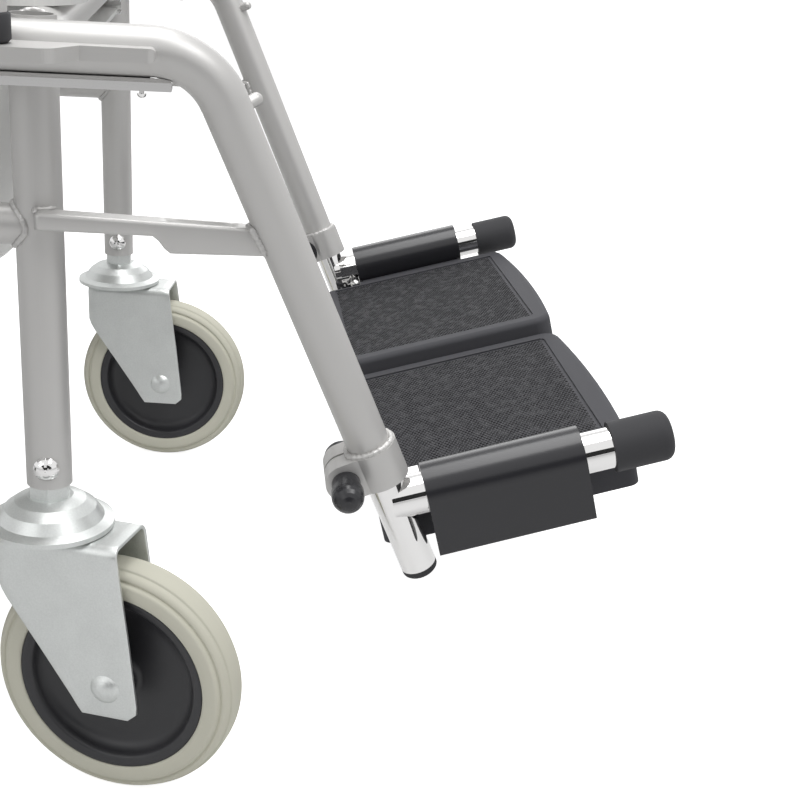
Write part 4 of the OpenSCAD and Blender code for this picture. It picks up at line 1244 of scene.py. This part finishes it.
@dataclass
class Footrest:
    """One footplate: a moulding with a round top edge, and its tread."""

    side: Side
    plate_gap: float = 0.004
    plate_behind: float = 0.010
    plate_l: float = 0.164
    plate_drop: float = 0.011
    barrel_r: float = 0.018
    rim_h: float = 0.0012
    rim_w: float = 0.013
    front_w: float = 0.011
    outer_w: float = 0.012
    rear_w: float = 0.006
    edge_r: float = 0.0045
    edge_steps: int = 5
    same_place: float = 1e-6
    flat_angle: float = 0.003
    sharp_angle: float = 0.6
    on_top_by: float = 1e-4
    off_barrel_by: float = 5e-4
    wall_lean: float = 0.1
    top_level: float = 0.9
    pitch: float = 0.0026
    stud_w: float = 0.0017
    stud_h: float = 0.0006
    stud_taper: float = 0.0003
    stud_sunk: float = 0.0001
    corner_r: float = 0.004
    edge_in: float = 0.0012

    def build(self) -> None:
        """Builds the plate and its tread."""
        self.moulded()
        self.tread()

    def moulded(self) -> None:
        """Builds the footplate as the solid has it, with its top outer edge rounded."""
        name = f"footplate_{self.side.word}"
        node = frame["nodes"][name]
        place = plate_frame(self.side)
        bm = bmesh.new()
        bm.from_mesh(node.data)
        bm.transform(node.matrix_world)
        bmesh.ops.remove_doubles(bm, verts=bm.verts, dist=self.same_place)
        bmesh.ops.dissolve_limit(bm, angle_limit=self.flat_angle, verts=bm.verts, edges=bm.edges)
        middle = place.at(-abs(place.origin.x) / 2, self.plate_l / 2, 0)
        edges = [edge for edge in bm.edges if self.on_top_edge(edge, place, middle)]
        bmesh.ops.bevel(bm, geom=edges, offset=self.edge_r, offset_type="OFFSET",
                        segments=self.edge_steps, profile=0.5, affect="EDGES",
                        clamp_overlap=False)
        mesh = bpy.data.meshes.new(f"{name}_moulded")
        bm.to_mesh(mesh)
        bm.free()
        mesh.polygons.foreach_set("use_smooth", [True] * len(mesh.polygons))
        mesh.set_sharp_from_angle(angle=self.sharp_angle)
        piece = linked(bpy.data.objects.new(mesh.name, mesh))
        piece.modifiers.new("normals", "WEIGHTED_NORMAL").keep_sharp = True
        apply_modifiers(piece)
        dress(piece, PLATE_PLASTIC, f"plate_{self.side.word}")
        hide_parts(name)
        log.info("%s: %d edges rounded", name, len(edges))

    def on_top_edge(self, edge: bmesh.types.BMEdge, place: Local, middle: Vector) -> bool:
        """Tells whether an edge runs round the plate's top, on its outside.

        Args:
            edge: The edge.
            place: The plate's frame.
            middle: The middle of the plate.

        Returns:
            Whether it does.
        """
        if len(edge.link_faces) != 2:
            return False
        for vert in edge.verts:
            spot = vert.co - place.origin
            if (abs(spot.dot(place.up) + self.plate_drop) > self.on_top_by
                    or spot.dot(place.out) > -self.barrel_r - self.off_barrel_by):
                return False
        wall, top = sorted(edge.link_faces, key=lambda face: abs(face.normal.dot(place.up)))
        if (abs(wall.normal.dot(place.up)) > self.wall_lean
                or abs(top.normal.dot(place.up)) < self.top_level):
            return False
        return wall.normal.dot(edge.verts[0].co - middle) > 0

    def tread(self) -> None:
        """Builds the staggered rows of small square studs inside the plate's smooth rim."""
        place = plate_frame(self.side)
        inner = self.plate_gap / 2 + self.rim_w - abs(place.origin.x) + self.edge_in
        outer = -self.barrel_r - self.outer_w - self.edge_in
        rear = -self.plate_behind + self.rear_w + self.edge_in
        front = self.plate_l - self.plate_behind - self.front_w - self.edge_in
        floor = -self.plate_drop - self.rim_h
        verts, faces = [], []
        half = self.stud_w / 2
        levels = ((half, -self.stud_sunk), (half - self.stud_taper, self.stud_h))
        columns = int((outer - inner) / self.pitch)
        margin = (outer - inner - (columns - 1) * self.pitch) / 2
        for i in range(columns):
            x = inner + margin + i * self.pitch
            for j in range(int((front - rear) / self.pitch)):
                y = rear + half + (j + (i % 2) / 2) * self.pitch
                if y + half > front or self.off_corner(x, y, (inner, outer), (rear, front)):
                    continue
                base = len(verts)
                for reach, up in levels:
                    for a, b in ((-1, -1), (1, -1), (1, 1), (-1, 1)):
                        verts.append(place.at(x + a * reach, y + b * reach, floor + up))
                faces.append((base + 4, base + 5, base + 6, base + 7))
                faces.append((base + 3, base + 2, base + 1, base))
                for k in range(4):
                    m = (k + 1) % 4
                    faces.append((base + k, base + m, base + 4 + m, base + 4 + k))
        piece = new_piece(f"footplate_tread_{self.side.word}", verts, faces, smooth=False)
        dress(piece, TREAD, f"plate_{self.side.word}")
        log.info("footplate_tread_%s: %d studs", self.side.word, len(faces) // 6)

    def off_corner(self, x: float, y: float, sides: tuple[float, float],
                   ends: tuple[float, float]) -> bool:
        """Tells whether a stud would stand in one of the tread's round corners.

        Args:
            x: The stud's place across the plate.
            y: Its place along the plate.
            sides: The tread's inner and outer side.
            ends: Its rear and front end.

        Returns:
            Whether it would.
        """
        for corner_x in sides:
            for corner_y in ends:
                dx = self.corner_r - abs(x - corner_x)
                dy = self.corner_r - abs(y - corner_y)
                if dx > 0 and dy > 0 and math.hypot(dx, dy) > self.corner_r:
                    return True
        return False


# Welds and the pressed brace


@dataclass
class FrameDetails:
    """Weld beads of the frame, its pressed front braces and its end plugs."""

    tube_r: float = 0.0127
    side_tube_r: float = 0.011
    cross_tube_fit: float = 0.0002
    rail_h: float = 0.439
    side_tube_h: float = 0.343
    post_x: float = 0.258
    rail_x: float = 0.2834
    leg_end: float = -0.0165
    collar_l: float = 0.024
    brace_t: float = 0.014
    brace_deep: float = 0.015
    brace_thin: float = 0.0095
    brace_fall: float = 0.005
    brace_fall_in: float = 0.004
    brace_edge_r: float = 0.0022
    brace_edge_steps: int = 4
    brace_stations: int = 40
    brace_sunk: float = 0.0015
    deep_from: float = 0.060
    deep_over: float = 0.010
    dimple_from: float = 0.066
    dimple_to: float = 0.098
    dimple_over: float = 0.006
    dimple_deep: float = 0.0048
    dimple_shares: Section = (
        (0.62, 0.12), (0.42, 0.72), (0.2, 1.0), (-0.2, 1.0), (-0.42, 0.72), (-0.62, 0.12))
    bead_step: float = 0.0008
    close_share: float = 0.6
    ripple_l: float = 0.0034
    ripple_drift: float = 1.5
    ripple_scale: float = 90.0
    wander_share: float = 0.22
    wander_scale: float = 140.0
    wander_aparts: tuple[float, float, float] = (0.0, 31.4, 67.8)
    lump_scale: float = 260.0
    bead_shares: tuple[float, float, float] = (0.80, 0.24, 0.20)
    bead_end_shares: tuple[float, float, float] = (0.35, 0.55, 0.75)
    draw_reach: float = 50.0
    collar_bead_r: float = 0.0020
    collar_seam_out: float = 0.0012
    collar_seam_up: float = 0.0004
    collar_seam_steps: int = 60
    post_bead_r: float = 0.0017
    post_seam_out: float = 0.0006
    post_seam_steps: int = 56
    rail_bead_r: float = 0.0024
    rail_seam_half_w: float = 0.0036
    rail_seam_half_h: float = 0.0105
    brace_leg_bead_r: float = 0.0022
    brace_leg_seam_out: float = 0.0008
    brace_leg_seam_steps: int = 7
    brace_leg_search: float = 0.05
    brace_side_out: float = 0.0004
    brace_post_bead_r: float = 0.0016
    brace_post_seam_up: float = 0.0002
    brace_post_seam_share: float = 0.95
    brace_post_seam_steps: int = 14
    plug_profile: Section = (
        (0.0, 0.0026), (0.006, 0.0025), (0.0100, 0.0019), (0.0118, 0.0008), (0.0121, 0.0001),
        (0.0106, 0.0001), (0.0104, -0.012), (0.0, -0.012))
    plug_steps: int = 48
    post_y: float = field(default_factory=lambda: node_centre("front_post_left").y)
    rear_y: float = field(default_factory=lambda: joint("castor_swivel_rear_left")["pos_m"][1])
    seed: int = 7

    def build(self) -> None:
        """Builds every weld, brace and plug."""
        random.seed(self.seed)
        for side in Side:
            self.brace(side)
            self.leg_welds(side)
            self.post_welds(side)
            self.rail_plug(side)
            log.info("frame, %s side: brace, welds and plug", side.word)

    def bead(self, name: str, path: Sequence[Vector], size: float, looped: bool = False) -> None:
        """Lays a rippled weld bead along a path on the frame.

        Args:
            name: The piece's name.
            path: Points that the bead follows.
            size: Its radius.
            looped: Whether the path closes on itself.
        """
        shift = random.random() * self.draw_reach
        plain, wave_share, lump_share = self.bead_shares
        moved, sizes = [], []
        for i, point in enumerate(self.evened(path, looped)):
            spot = point * self.wander_scale + ACROSS * shift
            wander = Vector([noise.noise(spot + UPWARD * apart) for apart in self.wander_aparts])
            moved.append(point + wander * size * self.wander_share)
            drift = noise.noise(point * self.ripple_scale) * self.ripple_drift
            wave = abs(math.sin(math.pi * i * self.bead_step / self.ripple_l + drift))
            lump = noise.noise(point * self.lump_scale + REARWARD * shift)
            sizes.append(size * (plain + wave_share * wave + lump_share * lump))
        if not looped:
            for k, share in enumerate(self.bead_end_shares):
                sizes[k] *= share
                sizes[-1 - k] *= share
        dress(swept(name, moved, sizes, looped=looped), FRAME_PAINT, "frame")

    def evened(self, path: Sequence[Vector], looped: bool) -> list[Vector]:
        """Spaces the points of a path evenly.

        Args:
            path: The path's points.
            looped: Whether it closes on itself.

        Returns:
            Points along it, one bead step apart.
        """
        points = list(path) + ([path[0]] if looped else [])
        spaced, left = [points[0].copy()], self.bead_step
        for a, b in zip(points, points[1:]):
            length = (b - a).length
            travelled = 0.0
            while length - travelled >= left:
                travelled += left
                spaced.append(a + (b - a) * travelled / length)
                left = self.bead_step
            left -= length - travelled
        if looped and (spaced[-1] - spaced[0]).length < self.bead_step * self.close_share:
            spaced.pop()
        return spaced

    def leg_welds(self, side: Side) -> None:
        """Builds the rough bead where the collar is welded to the leg.

        Args:
            side: Side of the chair.
        """
        leg = leg_frame(side)
        seam = self.leg_end - self.collar_l - self.collar_seam_up
        reach = self.tube_r + self.collar_seam_out
        ring = [leg.origin + leg.along * seam + leg.out * c * reach + leg.up * s * reach
                for c, s in turns(self.collar_seam_steps)]
        self.bead(f"collar_weld_{side.word}", ring, self.collar_bead_r, looped=True)

    def ring_on_post(self, centre: Vector, facing: Vector, radius: float) -> list[Vector]:
        """Gives the seam where a level tube runs into a round post.

        Args:
            centre: Where the tube's axis meets the post's axis.
            facing: Direction from the post along the tube.
            radius: The tube's radius.

        Returns:
            The seam's points.
        """
        across = facing.cross(UPWARD).normalized()
        reach = radius + self.post_seam_out
        points = []
        for c, s in turns(self.post_seam_steps):
            depth = math.sqrt(max(self.tube_r ** 2 - (c * reach) ** 2, 0.0))
            points.append(centre + across * c * reach + UPWARD * s * reach
                          + facing * (depth + self.post_seam_out))
        return points

    def post_welds(self, side: Side) -> None:
        """Builds the beads where the side tube, the cross tubes and the rail meet the posts.

        Args:
            side: Side of the chair.
        """
        x = side.value * self.post_x
        for word, y, facing in (("front", self.post_y, 1), ("rear", self.rear_y, -1)):
            ring = self.ring_on_post(Vector((x, y, self.side_tube_h)), REARWARD * facing,
                                     self.side_tube_r)
            self.bead(f"side_tube_weld_{word}_{side.word}", ring, self.post_bead_r, looped=True)
            ring = self.ring_on_post(Vector((x, y, self.rail_h)), ACROSS * -side.value,
                                     self.tube_r - self.cross_tube_fit)
            self.bead(f"cross_tube_weld_{word}_{side.word}", ring, self.post_bead_r, looped=True)
            for hand, where in ((-1, "ahead"), (1, "behind")):
                line = [Vector((side.value * (self.post_x + self.tube_r),
                                y + hand * self.rail_seam_half_w, self.rail_h + rise))
                        for rise in (-self.rail_seam_half_h, self.rail_seam_half_h)]
                self.bead(f"rail_weld_{word}_{side.word}_{where}", line, self.rail_bead_r)

    def brace(self, side: Side) -> None:
        """Builds the pressed brace between the front post and the leg, dimpled along its top.

        Args:
            side: Side of the chair.
        """
        name = f"front_brace_{side.word}"
        low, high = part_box(name)
        top = self.side_tube_h + self.side_tube_r
        x = (low.x + high.x) / 2
        full = self.post_y - (low.y + self.brace_fall_in)
        deep_low = top - self.brace_fall - self.brace_deep
        rings = []
        for i in range(self.brace_stations + 1):
            y = high.y - (high.y - low.y) * i / self.brace_stations
            ahead = self.post_y - y
            fall = self.brace_fall * min(ahead / full, 1.0)
            thin_low = top - self.brace_thin - fall / 2
            under = thin_low + (deep_low - thin_low) * self.step(ahead, self.deep_from,
                                                                 self.deep_over)
            dimple = (self.dimple_deep * self.step(ahead, self.dimple_from, self.dimple_over)
                      * (1 - self.step(ahead, self.dimple_to, self.dimple_over)))
            rings.append(self.brace_ring(Vector((x, y, top - fall)), under, dimple))
        piece = lofted(f"{name}_pressed", rings)
        self.cut_to_leg(piece, side)
        dress(piece, FRAME_PAINT, "frame")
        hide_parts(name)
        self.brace_leg_weld(side, x, top)
        self.brace_post_weld(side, x, top)

    @staticmethod
    def step(value: float, start: float, over: float) -> float:
        """Returns a smooth step from 0 to 1 that begins at a start and ends a length over it."""
        return eased((value - start) / over)

    def brace_ring(self, crest: Vector, under: float, dimple: float) -> list[Vector]:
        """Gives one section of the brace: a rectangle with round edges, hollowed along its top.

        Args:
            crest: The middle of its top.
            under: Height of its underside.
            dimple: Depth of the hollow.

        Returns:
            The section's points.
        """
        half, r = self.brace_t / 2, self.brace_edge_r
        upper = crest.z
        points = []
        for cx, cz, start in ((half - r, upper - r, 0), (-half + r, upper - r, 90),
                              (-half + r, under + r, 180), (half - r, under + r, 270)):
            for k in range(self.brace_edge_steps + 1):
                turn = math.radians(start + 90 * k / self.brace_edge_steps)
                points.append(Vector((crest.x + cx + r * math.cos(turn), crest.y,
                                      cz + r * math.sin(turn))))
            if start == 0:
                points += [Vector((crest.x + half * share, crest.y, upper - dimple * depth))
                           for share, depth in self.dimple_shares]
        return points

    def cut_to_leg(self, piece: bpy.types.Object, side: Side) -> None:
        """Draws the brace's ends up to the leg and the post, so that neither is pierced.

        Args:
            piece: The brace.
            side: Side of the chair.
        """
        leg = leg_frame(side)
        inner = self.tube_r - self.brace_sunk
        behind = (REARWARD - leg.along * leg.along.y).normalized()
        for vertex in piece.data.vertices:
            radial = self.off_axis(vertex.co, leg)
            if radial.length < inner:
                reach = math.sqrt(max(inner ** 2 - radial.dot(leg.out) ** 2, 0.0))
                vertex.co += behind * (reach - radial.dot(behind))
            post = Vector((side.value * self.post_x, self.post_y, vertex.co.z))
            if (vertex.co - post).length < inner:
                shift = vertex.co.x - post.x
                vertex.co.y = self.post_y - math.sqrt(max(inner ** 2 - shift ** 2, 0.0))

    @staticmethod
    def off_axis(point: Vector, leg: Local) -> Vector:
        """Returns the way from a leg tube's axis to a point, at right angles to the axis."""
        offset = point - leg.origin
        return offset - leg.along * offset.dot(leg.along)

    def brace_leg_weld(self, side: Side, x: float, top: float) -> None:
        """Builds the bead round the brace's end on the leg.

        Args:
            side: Side of the chair.
            x: Place of the brace's middle across the chair.
            top: Height of the brace's top at the post.
        """
        leg = leg_frame(side)
        half = self.brace_t / 2 + self.brace_side_out
        upper = top - self.brace_fall
        under = upper - self.brace_deep
        corners = [(half, under), (half, upper), (-half, upper), (-half, under)]
        seam = []
        for (ax, az), (bx, bz) in zip(corners, corners[1:]):
            for k in range(self.brace_leg_seam_steps + 1):
                share = k / self.brace_leg_seam_steps
                start = Vector((x + ax + (bx - ax) * share, self.post_y - self.brace_leg_search,
                                az + (bz - az) * share))
                seam.append(self.onto_leg(start, leg))
        self.bead(f"brace_leg_weld_{side.word}", seam, self.brace_leg_bead_r)

    def onto_leg(self, start: Vector, leg: Local) -> Vector:
        """Moves a point forward until it meets the leg tube's skin.

        Args:
            start: The point.
            leg: The leg's frame.

        Returns:
            The point on the skin.
        """
        radial = self.off_axis(start, leg)
        step = leg.along * leg.along.y - REARWARD
        a, b = step.dot(step), 2 * radial.dot(step)
        c = radial.dot(radial) - (self.tube_r + self.brace_leg_seam_out) ** 2
        root = math.sqrt(max(b * b - 4 * a * c, 0.0))
        return start - REARWARD * ((-b - root) / (2 * a))

    def brace_post_weld(self, side: Side, x: float, top: float) -> None:
        """Builds the bead across the brace's top on the front post.

        Args:
            side: Side of the chair.
            x: Place of the brace's middle across the chair.
            top: Height of the brace's top at the post.
        """
        seam = []
        for k in range(self.brace_post_seam_steps + 1):
            share = (2 * k / self.brace_post_seam_steps - 1) * self.brace_post_seam_share
            place = x + share * self.brace_t / 2
            shift = place - side.value * self.post_x
            depth = math.sqrt(max((self.tube_r + self.post_seam_out) ** 2 - shift ** 2, 0.0))
            seam.append(Vector((place, self.post_y - depth, top + self.brace_post_seam_up)))
        self.bead(f"brace_post_weld_{side.word}", seam, self.brace_post_bead_r)

    def rail_plug(self, side: Side) -> None:
        """Builds the plug in the seat rail's rear end.

        Args:
            side: Side of the chair.
        """
        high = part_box(f"side_frame_{side.word}")[1]
        place = Local(Vector((side.value * self.rail_x, high.y, self.rail_h)), REARWARD, ACROSS,
                      UPWARD)
        piece = turned_part(f"rail_plug_{side.word}", place, self.plug_profile,
                            steps=self.plug_steps)
        dress(piece, BLACK_PLASTIC, "frame")


# Studio


@dataclass(frozen=True)
class Lamp:
    """A rectangular soft lamp that faces the chair's middle."""

    name: str
    place: tuple[float, float, float]
    wide: float
    deep: float
    power: float
    aim_h: float = 0.35

    def build(self) -> None:
        """Adds the lamp."""
        data = bpy.data.lights.new(self.name, "AREA")
        data.shape = "RECTANGLE"
        data.size, data.size_y = self.wide, self.deep
        data.energy = self.power
        lamp = linked(bpy.data.objects.new(self.name, data))
        lamp.location = self.place
        aim = UPWARD * self.aim_h - Vector(self.place)
        lamp.rotation_euler = aim.to_track_quat("-Z", "Y").to_euler()


@dataclass
class Studio:
    """Floor, light and camera. The camera's place is measured from the front posts."""

    photo_px: float = 800.0
    focal_px: float = 1386.84
    centre_x_px: float = 437.15
    centre_y_px: float = 424.06
    sensor: float = 36.0
    clip_end: float = 50.0
    eye: Vector = field(default_factory=lambda: Vector((-1.0076, -0.1011, 0.5256)))
    right: Vector = field(default_factory=lambda: Vector((-0.1344, -0.9888, 0.0644)))
    up: Vector = field(default_factory=lambda: Vector((0.3676, 0.0106, 0.9299)))
    ahead: Vector = field(default_factory=lambda: Vector((0.9202, -0.1486, -0.3620)))
    matt: float = 0.9
    floor_reach: float = 12.0
    floor_colour: Colour = (0.80, 0.80, 0.80)
    floor_camera_glow: float = 0.64
    floor_seen_glow: float = 0.20
    sky_light: float = 0.27
    sky_seen: float = 0.73
    card_x: float = -2.4
    card_ys: tuple[float, float] = (-1.5, 1.3)
    card_zs: tuple[float, float] = (0.25, 1.15)
    card_colour: Colour = (0.02, 0.02, 0.02)
    lamps: Sequence[Lamp] = (
        Lamp("key", (-1.2, -1.4, 2.6), 1.2, 1.2, 22.0),
        Lamp("fill", (-1.8, 1.6, 1.6), 1.6, 1.6, 6.0),
        Lamp("top", (0, -0.15, 2.3), 2.0, 0.8, 26.0),
        Lamp("edge", (2.0, -0.55, 1.1), 1.0, 1.0, 5.0))

    def build(self) -> None:
        """Builds the camera, the floor, the sky, the lamps and the card."""
        self.camera()
        self.floor()
        self.sky()
        for lamp in self.lamps:
            lamp.build()
        self.card()
        log.info("studio: camera, floor, sky, %d lamps and a card", len(self.lamps))

    def camera(self) -> None:
        """Puts the camera where the photograph was taken from."""
        data = bpy.data.cameras.new("camera")
        data.sensor_width = self.sensor
        data.lens = self.sensor * self.focal_px / self.photo_px
        data.shift_x = 0.5 - self.centre_x_px / self.photo_px
        data.shift_y = self.centre_y_px / self.photo_px - 0.5
        data.clip_end = self.clip_end
        camera = linked(bpy.data.objects.new("camera", data))
        matrix = Matrix((self.right, self.up, -self.ahead)).transposed().to_4x4()
        matrix.translation = self.eye + REARWARD * node_centre("front_post_left").y
        camera.matrix_world = matrix
        bpy.context.scene.camera = camera

    @staticmethod
    def looks(tree: bpy.types.NodeTree) -> tuple[bpy.types.NodeSocket, bpy.types.NodeSocket]:
        """Tells a tree who looks at its surface.

        Args:
            tree: The tree.

        Returns:
            Sockets that are 1 for the camera's rays, and for these, glossy and transmitted ones.
        """
        rays = tree.nodes.new("ShaderNodeLightPath").outputs
        seen = math_node(tree, "ADD", rays["Is Camera Ray"], rays["Is Glossy Ray"])
        seen = math_node(tree, "ADD", seen, rays["Is Transmission Ray"], clamp=True)
        return rays["Is Camera Ray"], seen

    def board(self, name: str, corners: Sequence[tuple[float, float, float]], finish: str,
              colour: Colour) -> bpy.types.Object:
        """Makes a flat matt board that belongs to the studio.

        Args:
            name: Its name.
            corners: Its corners.
            finish: Its material's name.
            colour: Its colour.

        Returns:
            The board.
        """
        board = new_piece(name, corners, [(0, 1, 2, 3)], smooth=False)
        material = bpy.data.materials.new(finish)
        material.use_nodes = True
        shader = material.node_tree.nodes["Principled BSDF"]
        shader.inputs["Base Color"].default_value = (*colour, 1)
        shader.inputs["Roughness"].default_value = self.matt
        board.data.materials.append(material)
        return board

    def floor(self) -> None:
        """Lays a wide pale floor that looks white but keeps the chair's shadow."""
        far = self.floor_reach
        corners = ((-far, -far, 0), (far, -far, 0), (far, far, 0), (-far, far, 0))
        plane = self.board("floor", corners, "floor_white", self.floor_colour)
        tree = plane.data.materials[0].node_tree
        shader = tree.nodes["Principled BSDF"]
        shader.inputs["Specular IOR Level"].default_value = 0.0
        glow = tree.nodes.new("ShaderNodeEmission")
        camera, seen = self.looks(tree)
        strength = math_node(tree, "MULTIPLY", seen, self.floor_seen_glow)
        strength = math_node(tree, "MULTIPLY_ADD", camera, self.floor_camera_glow, strength)
        tree.links.new(strength, glow.inputs["Strength"])
        add = tree.nodes.new("ShaderNodeAddShader")
        tree.links.new(shader.outputs[0], add.inputs[0])
        tree.links.new(glow.outputs[0], add.inputs[1])
        tree.links.new(add.outputs[0], tree.nodes["Material Output"].inputs["Surface"])

    def sky(self) -> None:
        """Sets a plain sky: soft light on the chair, white to the camera and in reflections."""
        world = bpy.data.worlds.new("studio")
        world.use_nodes = True
        tree = world.node_tree
        back = tree.nodes["Background"]
        back.inputs["Color"].default_value = (1, 1, 1, 1)
        _, seen = self.looks(tree)
        strength = math_node(tree, "MULTIPLY_ADD", seen, self.sky_seen, self.sky_light)
        tree.links.new(strength, back.inputs["Strength"])
        bpy.context.scene.world = world
        bpy.context.scene.view_settings.view_transform = "Standard"

    def card(self) -> None:
        """Stands up a dark card for the chrome's dark lines, seen in reflections only."""
        (front, rear), (low, high), x = self.card_ys, self.card_zs, self.card_x
        corners = ((x, front, low), (x, rear, low), (x, rear, high), (x, front, high))
        card = self.board("card", corners, "card_black", self.card_colour)
        card.visible_camera = card.visible_diffuse = card.visible_shadow = False


def main() -> None:
    """Builds the chair's looks and its studio, in order."""
    logging.basicConfig(level=logging.INFO, format="%(name)s: %(message)s")
    Studio().build()
    CadNodes().build()
    for end in End:
        for side in Side:
            Castor(end, side).build()
    for side in Side:
        Footrest(side).build()
    FrameDetails().build()
    Padding().build()


if __name__ == "__main__":
    main()
